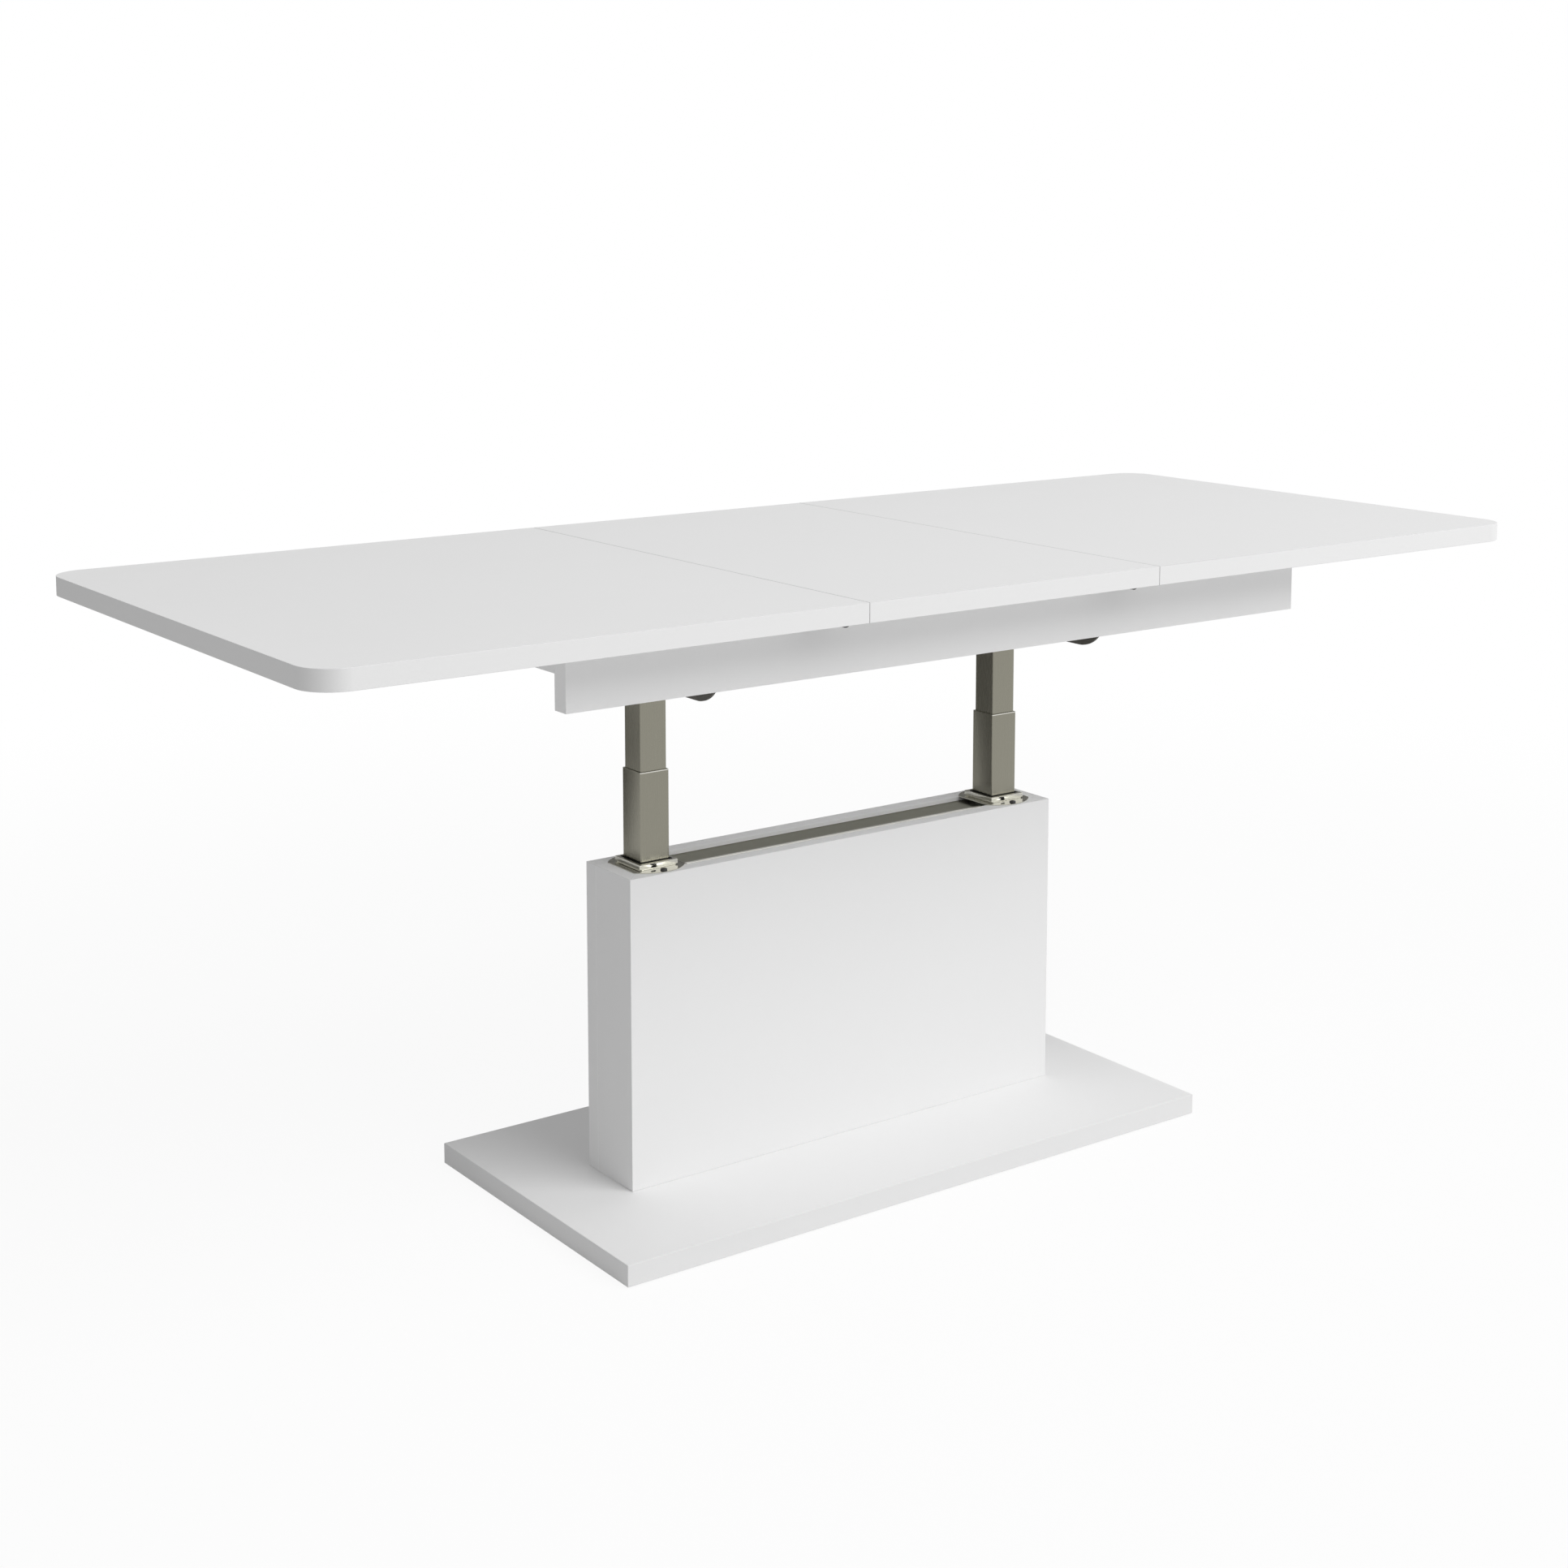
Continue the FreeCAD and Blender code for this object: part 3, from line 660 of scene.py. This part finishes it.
        with self.editing():
            self.pick_edges(is_square)
            bpy.ops.mesh.bevel(offset=width, segments=segments, affect="EDGES", clamp_overlap=False)
        return self.smooth()

    def smooth(self, angle: float = 40.0) -> "Workpiece":
        """Shade rounds smoothly and keep flat faces flat.

        Args:
            angle: Degrees past which an edge stays sharp.

        Returns:
            The piece itself.
        """
        self.activate()
        bpy.ops.object.shade_smooth_by_angle(angle=math.radians(angle))
        weighted = self.obj.modifiers.new("flat_faces", "WEIGHTED_NORMAL")
        weighted.keep_sharp = True
        bpy.ops.object.modifier_apply(modifier=weighted.name)
        return self

    def cut(self, tool: "Workpiece") -> None:
        """Take a tool's shape out of the piece and throw the tool away.

        Args:
            tool: Closed shape that is cut away.
        """
        self.activate()
        boolean = self.obj.modifiers.new("recess", "BOOLEAN")
        boolean.operation = "DIFFERENCE"
        boolean.object = tool.obj
        bpy.ops.object.modifier_apply(modifier=boolean.name)
        tool.discard()

    def discard(self) -> None:
        """Remove the piece from the bench."""
        mesh = self.obj.data
        bpy.data.objects.remove(self.obj)
        bpy.data.meshes.remove(mesh)

    def placed_copy(self, place: Vector, facing: Facing) -> "Workpiece":
        """Copy with its own mesh, turned about X and moved to a place.

        Args:
            place: Where its origin goes.
            facing: Which way it points.

        Returns:
            The copy.
        """
        mesh = self.obj.data.copy()
        mesh.transform(Matrix.Translation(place) @ Matrix.Rotation(math.radians(facing.value), 4, "X"))
        obj = bpy.data.objects.new(self.obj.name, mesh)
        bpy.context.scene.collection.objects.link(obj)
        return Workpiece(obj, f"{self.obj.name}_copy")

    def paint(self, finish: Finish) -> "Workpiece":
        """Give the whole piece one finish.

        Args:
            finish: Finish of every face.

        Returns:
            The piece itself.
        """
        self.obj.data.materials.clear()
        self.obj.data.materials.append(finish.material)
        return self

    def paint_where(self, finish: Finish, wanted: Callable[[bpy.types.MeshPolygon], bool]) -> "Workpiece":
        """Give the faces that a test wants one more finish.

        Args:
            finish: Finish of those faces.
            wanted: Test for one face.

        Returns:
            The piece itself.
        """
        self.obj.data.materials.append(finish.material)
        for face in self.obj.data.polygons:
            if wanted(face):
                face.material_index = len(self.obj.data.materials) - 1
        return self

    def fix(self, body: str, slot: str, *nodes: str) -> "Workpiece":
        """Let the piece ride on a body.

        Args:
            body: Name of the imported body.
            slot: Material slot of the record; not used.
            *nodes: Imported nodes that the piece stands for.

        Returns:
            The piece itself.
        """
        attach(self.obj, body)
        if nodes:
            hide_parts(*nodes)
        log.info("%s rides on %s, %d faces", self.obj.name, body, len(self.obj.data.polygons))
        return self


def is_side_or_round(face: bpy.types.MeshPolygon) -> bool:
    """Whether a face belongs to a board's edge, its rounds among them, where the edge band's painted shade
    goes.
    """
    return abs(face.normal.z) < LEVEL


def is_inside_or_top(face: bpy.types.MeshPolygon) -> bool:
    """Whether a pedestal panel's face looks up or into the box, where painted light goes."""
    return face.normal.z > LEVEL or face.normal.y * face.center.y < -INSIDE


def clear_selection() -> None:
    """Deselect every object."""
    bpy.ops.object.select_all(action="DESELECT")


def joined(pieces: list[Workpiece], name: str) -> Workpiece:
    """Join pieces into one.

    Args:
        pieces: At least one piece.
        name: Name of the joined piece.

    Returns:
        The joined piece.
    """
    clear_selection()
    for piece in pieces:
        piece.obj.select_set(True)
    bpy.context.view_layer.objects.active = pieces[0].obj
    bpy.ops.object.join()
    return Workpiece(bpy.context.object, name)


def solids_of(node: str) -> list[Extent]:
    """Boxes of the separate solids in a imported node.

    Args:
        node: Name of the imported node.

    Returns:
        One extent per solid.
    """
    whole = Workpiece.copy_of(node, f"{node}_measure")
    with whole.editing():
        bpy.ops.mesh.select_all(action="SELECT")
        bpy.ops.mesh.separate(type="LOOSE")
    extents = []
    for obj in list(bpy.context.selected_objects):
        corners = [Vector(corner) for corner in obj.bound_box]
        low = Vector(map(min, *corners))
        high = Vector(map(max, *corners))
        extents.append(Extent(low, high))
        Workpiece(obj, obj.name).discard()
    return extents


def slot_of(node: str) -> str:
    """Material slot that the record gives a node."""
    return next(row["material_slot"] for row in frame["record"]["subparts"] if row["node"] == node)


def body_of(node: str) -> str:
    """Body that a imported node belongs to."""
    return frame["nodes"][node]["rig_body"]


def dress_node(node: str, finish: Finish) -> None:
    """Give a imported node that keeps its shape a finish."""
    frame["nodes"][node].material_slots[0].material = finish.material
    log.info("%s keeps its solid", node)


def eased_copy(node: str, width: float, shortest: float = 0.004) -> Workpiece:
    """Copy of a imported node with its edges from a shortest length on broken, fixed in the node's stead."""
    piece = Workpiece.copy_of(node, f"{node}_eased").ease(width, shortest)
    return piece.fix(body_of(node), slot_of(node), node)


def sided(name: str) -> list[str]:
    """Left and right node of a name."""
    return [f"left_{name}", f"right_{name}"]


@dataclass
class Screw:
    """One screw with a domed head, made once on the Z axis with its seat at level 0."""

    head_radius: float
    head_height: float
    shank_radius: float
    reach: float
    drive: Drive = Drive.CROSS
    sides: int = 24
    dome: float = 0.6
    recess_depth: float = 0.6
    recess_reach: float = 0.55
    recess_width: float = 0.16
    recess_clear: float = 1.5
    tip: float = 0.003
    tip_width: float = 0.2
    smooth_angle: float = 35.0

    def build(self) -> Workpiece:
        """Model the screw.

        Returns:
            The screw, head up.
        """
        screw = Workpiece.cylinder("screw", self.head_radius, (0.0, self.head_height), self.sides)
        top = self.head_height - MERGE
        with screw.editing():
            screw.pick_edges(lambda edge: min(vert.co.z for vert in edge.verts) > top)
            bpy.ops.mesh.bevel(offset=self.dome * self.head_height, segments=3, affect="EDGES")
            screw.pick_faces(lambda face: face.normal.z < -LEVEL)
            bpy.ops.mesh.inset(thickness=self.head_radius - self.shank_radius)
            self._extrude(-(self.reach - self.tip))
            self._extrude(-self.tip)
            bpy.ops.transform.resize(value=(self.tip_width, self.tip_width, 1.0))
        for tool in self._tools():
            screw.cut(tool)
        return screw.smooth(self.smooth_angle)

    @staticmethod
    def _extrude(distance: float) -> None:
        """Pull the selected face along Z."""
        bpy.ops.mesh.extrude_region_move(TRANSFORM_OT_translate={"value": (0.0, 0.0, distance)})

    def _tools(self) -> list[Workpiece]:
        """Shapes that cut the recess.

        Returns:
            One tool for each cut.
        """
        floor = self.head_height * (1.0 - self.recess_depth)
        ceiling = self.head_height * self.recess_clear
        if self.drive is Drive.HEXAGON:
            return [Workpiece.cylinder("hexagon", self.recess_reach * self.head_radius, (floor, ceiling), 6)]
        long, narrow = self.recess_reach * self.head_radius, self.recess_width * self.head_radius
        bars = []
        for half_x, half_y in ((long, narrow), (narrow, long)):
            corner = Vector((half_x, half_y, 0.0))
            bars.append(Workpiece.block("bar", Extent(Vector((0, 0, floor)) - corner,
                                                      Vector((0, 0, ceiling)) + corner)))
        return bars


@dataclass
class ScrewSet:
    """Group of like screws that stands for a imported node."""

    node: str
    facing: Facing
    head_height: float
    shank_radius: float
    finish: Finish
    drive: Drive = Drive.CROSS

    def build(self) -> None:
        """Model one screw and set a copy on every seat."""
        extents = solids_of(self.node)
        first = extents[0]
        screw = Screw(first.size.x / 2, self.head_height, self.shank_radius,
                      first.size.z - self.head_height, self.drive).build()
        copies = []
        for extent in extents:
            place = extent.middle
            place.z = (extent.high.z - self.head_height if self.facing is Facing.UP
                       else extent.low.z + self.head_height)
            copies.append(screw.placed_copy(place, self.facing))
        screw.discard()
        group = joined(copies, f"{self.node}_driven").paint(self.finish)
        group.fix(body_of(self.node), slot_of(self.node), self.node)


@dataclass
class TableTop:
    """Three leaves of faced board and the supports under their seams."""

    seam_break: float = 0.0003
    seam_limit: float = 0.25
    support_ease: float = 0.0006
    seam_turn: float = 0.5
    board_pieces: list[Workpiece] = field(default_factory=list)
    supports: list[Workpiece] = field(default_factory=list)

    def build(self) -> None:
        """Copy the leaves with softened seam edges, and the supports."""
        seam_ends = {"left_leaf": (1.0,), "insert_leaf": (-1.0, 1.0), "right_leaf": (-1.0,)}
        self.board_pieces = [self._copy_leaf(leaf, ends) for leaf, ends in seam_ends.items()]
        self.supports = [eased_copy(node, self.support_ease) for node in sided("seam_supports")]

    def _copy_leaf(self, leaf: str, ends: tuple[float, ...]) -> Workpiece:
        """Copy a leaf and break the upper edges at its seams.

        Args:
            leaf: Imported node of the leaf.
            ends: Direction along X of each end that meets another leaf.

        Returns:
            The copy, fixed in the leaf's stead.
        """
        piece = Workpiece.copy_of(leaf, f"{leaf}_eased")
        low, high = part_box(leaf)
        for end in ends:
            edge = high[0] if end > 0 else low[0]
            piece.slice((edge - end * self.seam_break, 0.0, high[2]), (end, 0.0, 1.0), trim=True)
        return piece.smooth().fix(body_of(leaf), slot_of(leaf), leaf)

    def dress(self) -> None:
        """Face the boards, give their edges and seams painted shade and colour the supports."""
        for leaf in self.board_pieces:
            # Side faces and rounds of the leaves take the edge band's painted shade
            leaf.paint(Finish.FACING).paint_where(Finish.EDGE_BAND_SHADED, is_side_or_round)
            # The seam faces and their chamfers take painted shade, so that the gap between leaves shows dark
            leaf.paint_where(Finish.SEAM_SHADE, self._is_seam)
        for support in self.supports:
            support.paint(Finish.GREY_PLASTIC)

    def _is_seam(self, face: bpy.types.MeshPolygon) -> bool:
        """Whether a face belongs to an edge where two leaves meet."""
        return abs(face.normal.x) > self.seam_turn and abs(face.center.x) < self.seam_limit


@dataclass
class SlideGear:
    """Runner channels on the frame and sliders under the end leaves."""

    sheet_ease: float = 0.0004
    head_height: float = 0.002
    shank_radius: float = 0.002
    runners: list[Workpiece] = field(default_factory=list)
    sliders: list[Workpiece] = field(default_factory=list)

    def build(self) -> None:
        """Copy channels and sliders with broken edges and set their screws."""
        self.runners = [eased_copy(f"{end}_runner", self.sheet_ease) for end in ("front", "back")]
        self.sliders = [eased_copy(node, self.sheet_ease)
                        for end in ("front", "back") for node in sided(f"{end}_slider")]
        ScrewSet("runner_screws", Facing.UP, self.head_height, self.shank_radius, Finish.ZINC).build()
        for node in sided("slider_screws"):
            ScrewSet(node, Facing.DOWN, self.head_height, self.shank_radius, Finish.ZINC).build()

    def dress(self) -> None:
        """Zinc the channels and leave the sliders as drawn."""
        for runner in self.runners:
            runner.paint(Finish.ZINC)
        for slider in self.sliders:
            slider.paint(Finish.ALUMINIUM)


@dataclass
class TopFrame:
    """Rails, cross boards, arms and brackets that carry the top."""

    board_ease: float = 0.0005
    arm_ease: float = 0.0006
    bracket_ease: float = 0.0004
    head_height: float = 0.002
    shank_radius: float = 0.002
    bracket_sheet: float = 0.002
    bracket_screw: Screw = field(default_factory=lambda: Screw(0.0035, 0.0018, 0.0016, 0.011))
    bracket_screw_step: float = 0.011
    bracket_screw_reach: float = 0.018
    boards: list[Workpiece] = field(default_factory=list)
    arms: list[Workpiece] = field(default_factory=list)
    brackets: Workpiece | None = None

    def build(self) -> None:
        """Copy boards, arms and brackets with broken edges and set the screws."""
        nodes = ["front_rail", "back_rail"] + sided("end_board") + sided("column_board")
        self.boards = [eased_copy(node, self.board_ease) for node in nodes]
        self.arms = [eased_copy(node, self.arm_ease) for node in sided("head_arm")]
        self.brackets = eased_copy("corner_brackets", self.bracket_ease)
        ScrewSet("arm_screws", Facing.DOWN, self.head_height, self.shank_radius, Finish.ZINC).build()
        self._set_bracket_screws()

    def _set_bracket_screws(self) -> None:
        """Drive two screws through each leg of every bracket."""
        screw = self.bracket_screw.build()
        copies = []
        for leg in solids_of("corner_brackets"):
            inward = 1.0 if leg.middle.y < 0 else -1.0
            wall = leg.low.y if inward > 0 else leg.high.y
            for step in (-self.bracket_screw_step, self.bracket_screw_step):
                x = leg.middle.x + step
                below = Vector((x, wall + inward * self.bracket_screw_reach,
                                leg.high.z - self.bracket_sheet))
                copies.append(screw.placed_copy(below, Facing.DOWN))
                beside = Vector((x, wall + inward * self.bracket_sheet,
                                 leg.high.z - self.bracket_screw_reach))
                copies.append(screw.placed_copy(beside, Facing.BACK if inward > 0 else Facing.FRONT))
        screw.discard()
        group = joined(copies, "bracket_screws").paint(Finish.ZINC)
        group.fix(body_of("corner_brackets"), slot_of("corner_brackets"))

    def dress(self) -> None:
        """Face the boards, coat the arms and zinc the brackets."""
        for piece in self.boards:
            piece.paint(Finish.FACING)
        for arm in self.arms:
            arm.paint(Finish.DARK_STEEL)
        self.brackets.paint(Finish.ZINC)


@dataclass
class Columns:
    """Telescopic tubes with their gas springs, bushes, collars, flanges and wipers."""

    collar_ease: float = 0.0004
    collar_least: float = 0.01
    slot_span: tuple[float, float] = (0.0006, 0.0045)
    flange_ease: float = 0.0002
    wiper_ease: float = 0.0003
    wiper_lip: float = 0.001
    tube_ease: float = 0.0005
    rim_highlight_height: float = 0.0012
    highlight_turn: float = 0.3
    screw_head_height: float = 0.002
    shank_radius: float = 0.002
    collars: list[Workpiece] = field(default_factory=list)
    flanges: list[Workpiece] = field(default_factory=list)
    wipers: list[Workpiece] = field(default_factory=list)
    outer_tubes: list[Workpiece] = field(default_factory=list)
    inner_tubes: list[Workpiece] = field(default_factory=list)

    def build(self) -> None:
        """Copy collars, flanges, wipers and tubes with broken edges and set the flange screws."""
        self.collars = [eased_copy(node, self.collar_ease, self.collar_least) for node in sided("collar")]
        self.flanges = [eased_copy(node, self.flange_ease) for node in sided("flange")]
        self.wipers = [eased_copy(node, self.wiper_ease) for node in sided("wiper")]
        for wiper in self.wipers:
            wiper.raise_top(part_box("left_wiper")[1][2] - 2 * self.wiper_ease, self.wiper_lip)
        self.outer_tubes = [eased_copy(node, self.tube_ease) for node in sided("outer_tube")]
        self.inner_tubes = [eased_copy(node, self.tube_ease) for node in sided("inner_tube")]
        ScrewSet("flange_screws", Facing.UP, self.screw_head_height, self.shank_radius,
                 Finish.DARK_SCREW_AND_SLOT_SHADE).build()

    def dress(self) -> None:
        """Plate the metal, with painted shade in the collar slots and darker copies on flanges and tubes, a
        painted highlight on the rims, and colour the plastic.
        """
        near, far = (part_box("left_collar")[0][1] + depth for depth in self.slot_span)
        for collar in self.collars:
            # The faces inside each collar's slot take the blackened steel as painted shade
            collar.paint(Finish.NICKEL_COLLAR).paint_where(Finish.DARK_SCREW_AND_SLOT_SHADE,
                                                           lambda face: near < face.center.y < far)
        for flange in self.flanges:
            flange.paint(Finish.NICKEL_FLANGE_SHADED)
        for tube in self.inner_tubes:
            tube.paint(Finish.NICKEL_TUBE_SHADED)
        # The outer tubes' top band takes a painted highlight on its faces that look front and back
        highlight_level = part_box("left_outer_tube")[1][2] - self.rim_highlight_height
        for tube in self.outer_tubes:
            tube.slice((0.0, 0.0, highlight_level), (0.0, 0.0, 1.0)).paint(Finish.NICKEL_TUBE_SHADED)
            tube.paint_where(Finish.NICKEL_RIM_HIGHLIGHT,
                             lambda face: face.center.z > highlight_level and abs(face.normal.y) > self.highlight_turn)
        for wiper in self.wipers:
            wiper.paint(Finish.BLACK_RUBBER)
        kept = {"guide_tube": Finish.ZINC, "outer_bush": Finish.BLACK_PLASTIC,
                "inner_bush": Finish.BLACK_PLASTIC, "gas_cylinder": Finish.BLACK_PAINT,
                "gas_rod": Finish.CHROME}
        for name, finish in kept.items():
            for node in sided(name):
                dress_node(node, finish)


@dataclass
class Pedestal:
    """Box of faced boards on a base plate, with the channel along its top."""

    board_ease: float = 0.0004
    base_ease: float = 0.0008
    channel_ease: float = 0.0003
    screw_head_height: float = 0.004
    screw_shank_radius: float = 0.003
    glide_rim: float = 0.0007
    glide_recess: float = 0.0005
    glide_margin: float = 0.004
    glide_sides: int = 40
    panels: list[Workpiece] = field(default_factory=list)
    base: Workpiece | None = None
    channel: Workpiece | None = None

    def build(self) -> None:
        """Copy the boards and the channel with broken edges, set the screws and the glides."""
        nodes = ["pedestal_front_panel", "pedestal_back_panel", "pedestal_left_end", "pedestal_right_end"]
        self.panels = [eased_copy(node, self.board_ease) for node in nodes]
        self.base = eased_copy("base_plate", self.base_ease)
        self.channel = eased_copy("top_channel", self.channel_ease)
        ScrewSet("pedestal_screws", Facing.DOWN, self.screw_head_height, self.screw_shank_radius,
                 Finish.ZINC, Drive.HEXAGON).build()
        self._set_glides()

    def _set_glides(self) -> None:
        """Model one moulded glide with a sunk middle and set a copy on every seat."""
        extents = solids_of("base_glides")
        first = extents[0]
        glide = Workpiece.cylinder("glide", first.size.x / 2, (-first.size.z, 0.0), self.glide_sides)
        with glide.editing():
            glide.pick_edges(lambda edge: max(vert.co.z for vert in edge.verts) < -MERGE)
            bpy.ops.mesh.bevel(offset=self.glide_rim, segments=3, affect="EDGES")
            glide.pick_faces(lambda face: face.normal.z < -LEVEL)
            bpy.ops.mesh.inset(thickness=self.glide_margin)
            bpy.ops.mesh.inset(thickness=self.glide_recess)
            bpy.ops.transform.translate(value=(0.0, 0.0, self.glide_recess))
        glide.smooth()
        copies = []
        for extent in extents:
            seat = Vector((extent.middle.x, extent.middle.y, extent.high.z))
            copies.append(glide.placed_copy(seat, Facing.UP))
        glide.discard()
        group = joined(copies, "base_glides_moulded").paint(Finish.BLACK_PLASTIC)
        group.fix(body_of("base_glides"), slot_of("base_glides"), "base_glides")

    def dress(self) -> None:
        """Face the boards with painted light on tops and insides, shade the base plate's edges and plate the
        channel with painted shade and a painted highlight.
        """
        for panel in self.panels:
            # Tops and inner faces of the panels take painted light
            panel.paint(Finish.FACING).paint_where(Finish.TOP_LIGHT, is_inside_or_top)
        # The base plate's side faces and rounds take the edge band's painted shade
        self.base.paint(Finish.FACING).paint_where(Finish.EDGE_BAND_SHADED, is_side_or_round)
        # Faces of the channel above the panels, its lip tops, take a painted highlight
        lip_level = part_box("pedestal_front_panel")[1][2]
        # The channel takes the dark copy of the nickel, as painted shade
        self.channel.paint(Finish.NICKEL_STRIP_SHADED).paint_where(Finish.NICKEL_LIP_HIGHLIGHT,
                                                            lambda face: face.center.z > lip_level)
        dress_node("foot_bar", Finish.ZINC)
        dress_node("foot_screws", Finish.ZINC)


@dataclass(frozen=True)
class Lamp:
    """Soft square lamp aimed at a point."""

    name: str
    place: Triple
    aim: Triple
    width: float
    watts: float

    def build(self) -> None:
        """Hang the lamp."""
        data = bpy.data.lights.new(self.name, "AREA")
        data.shape = "SQUARE"
        data.size = self.width
        data.energy = self.watts
        lamp = bpy.data.objects.new(self.name, data)
        lamp.location = self.place
        lamp.rotation_euler = (Vector(self.aim) - Vector(self.place)).to_track_quat("-Z", "Y").to_euler()
        bpy.context.scene.collection.objects.link(lamp)


@dataclass(frozen=True)
class Card:
    """Upright grey card behind the table, which shows only in polished metal."""

    name: str
    place: Triple
    width: float
    height: float
    colour: Colour
    on_corner: bool = False
    nap_waves: float = 600.0
    nap_tones: Pair = (0.8, 1.0)

    def build(self) -> None:
        """Stand the card up along the table, or on its corner and turned to the table's middle."""
        clear_selection()
        upright = math.radians(90.0)
        if self.on_corner:
            turn = math.atan2(self.place[0], -self.place[1])
            bpy.ops.mesh.primitive_circle_add(vertices=4, radius=0.5, fill_type="NGON", location=self.place,
                                              rotation=(upright, 0.0, turn))
        else:
            bpy.ops.mesh.primitive_plane_add(size=1.0, location=self.place, rotation=(upright, 0.0, 0.0))
        card = bpy.context.object
        card.name = self.name
        card.scale = (self.width, self.height, 1.0)
        # The card is a painted reflection: hidden from camera, diffuse light and shadows, it shows only in
        # glossy reflections
        card.visible_camera = card.visible_diffuse = card.visible_shadow = card.visible_transmission = False
        recipe = Recipe(self.name)
        nap = recipe.noise((self.nap_waves,) * 3)
        colour = recipe.tint(nap, self.colour, self.nap_tones)
        matt = recipe.node("ShaderNodeBsdfDiffuse", {}, {"Color": colour})
        recipe.node("ShaderNodeOutputMaterial", {}, {"Surface": matt})
        card.data.materials.append(recipe.material)


@dataclass
class Studio:
    """Pale floor, soft light and the camera at the photograph's viewing angle."""

    floor_size: float = 60.0
    floor_colour: Colour = (0.85, 0.85, 0.85)
    floor_whiteness: float = 0.92
    speckle_waves: float = 300.0
    speckle_tones: Pair = (0.995, 1.0)
    shadow_near: float = 1.2
    shadow_far: float = 3.0
    ambient: float = 0.383
    softbox: Lamp = Lamp("softbox", (2.736, -5.867, 6.652), (0.0, 0.0, 0.4), 7.0, 600.0)
    # Grey cards that paint darker reflections into the polished metal
    corner_card: Card = Card("corner_card", (-0.482, 0.801, 0.376), 0.68, 0.84,
                             (0.25, 0.2469, 0.2344), on_corner=True)
    long_card: Card = Card("long_card", (0.025, 0.85, 0.67), 2.25, 0.22, (0.17, 0.1675, 0.1581))
    camera_place: Triple = (-1.7476, -2.3255, 1.1757)
    camera_turn: float = 35.841
    camera_tilt: float = 6.966
    camera_lens: float = 55.753
    camera_shift: float = -0.19

    def build(self) -> None:
        """Set up floor, light and camera."""
        bpy.context.scene.view_settings.view_transform = "Standard"
        self._lay_floor()
        self._light_world()
        self.corner_card.build()
        self.long_card.build()
        self.softbox.build()
        self._place_camera()

    def _lay_floor(self) -> None:
        """Lay a pale floor that shows white and keeps the table's shadow."""
        clear_selection()
        bpy.ops.mesh.primitive_plane_add(size=self.floor_size)
        floor = bpy.context.object
        floor.name = "studio_floor"
        recipe = Recipe("studio_floor")
        speckle = recipe.noise((self.speckle_waves,) * 3)
        colour = recipe.tint(speckle, self.floor_colour, self.speckle_tones)
        matt = recipe.node("ShaderNodeBsdfDiffuse", {}, {"Color": colour})
        white = recipe.node("ShaderNodeEmission", {}, {"Color": WHITE, "Strength": 1.0})
        distance = recipe.node("ShaderNodeVectorMath", {"operation": "LENGTH"}, {0: recipe.place}, "Value")
        whiteness = recipe.node("ShaderNodeMapRange", {"interpolation_type": "SMOOTHSTEP"},
                                {"Value": distance, "From Min": self.shadow_near,
                                 "From Max": self.shadow_far, "To Min": self.floor_whiteness, "To Max": 1.0})
        surface = recipe.mix_shaders(whiteness * recipe.seen_directly(), matt, white)
        recipe.node("ShaderNodeOutputMaterial", {}, {"Surface": surface})
        floor.data.materials.append(recipe.material)

    def _light_world(self) -> None:
        """Surround the table with a white backdrop that lights it at a lower level."""
        world = bpy.data.worlds.new("studio")
        world.use_nodes = True
        bpy.context.scene.world = world
        sheet = NodeSheet(world.node_tree)
        dim = sheet.node("ShaderNodeBackground", {}, {"Color": WHITE, "Strength": self.ambient})
        white = sheet.node("ShaderNodeBackground", {}, {"Color": WHITE, "Strength": 1.0})
        surface = sheet.mix_shaders(sheet.seen_directly(), dim, white)
        sheet.node("ShaderNodeOutputWorld", {}, {"Surface": surface})

    def _place_camera(self) -> None:
        """Put the camera where the photograph was taken."""
        data = bpy.data.cameras.new("photograph")
        data.lens = self.camera_lens
        data.shift_y = self.camera_shift
        camera = bpy.data.objects.new("photograph", data)
        camera.location = self.camera_place
        camera.rotation_euler = (math.radians(90.0 - self.camera_tilt), 0.0, math.radians(-self.camera_turn))
        bpy.context.scene.collection.objects.link(camera)
        bpy.context.scene.camera = camera


def main() -> None:
    """Build and dress every sub-assembly, then the studio."""
    logging.basicConfig(level=logging.INFO, format="%(message)s")
    for assembly in (TableTop(), SlideGear(), TopFrame(), Columns(), Pedestal()):
        assembly.build()
        assembly.dress()
        log.info("%s is dressed", type(assembly).__name__)
    Studio().build()


if __name__ == "__main__":
    main()
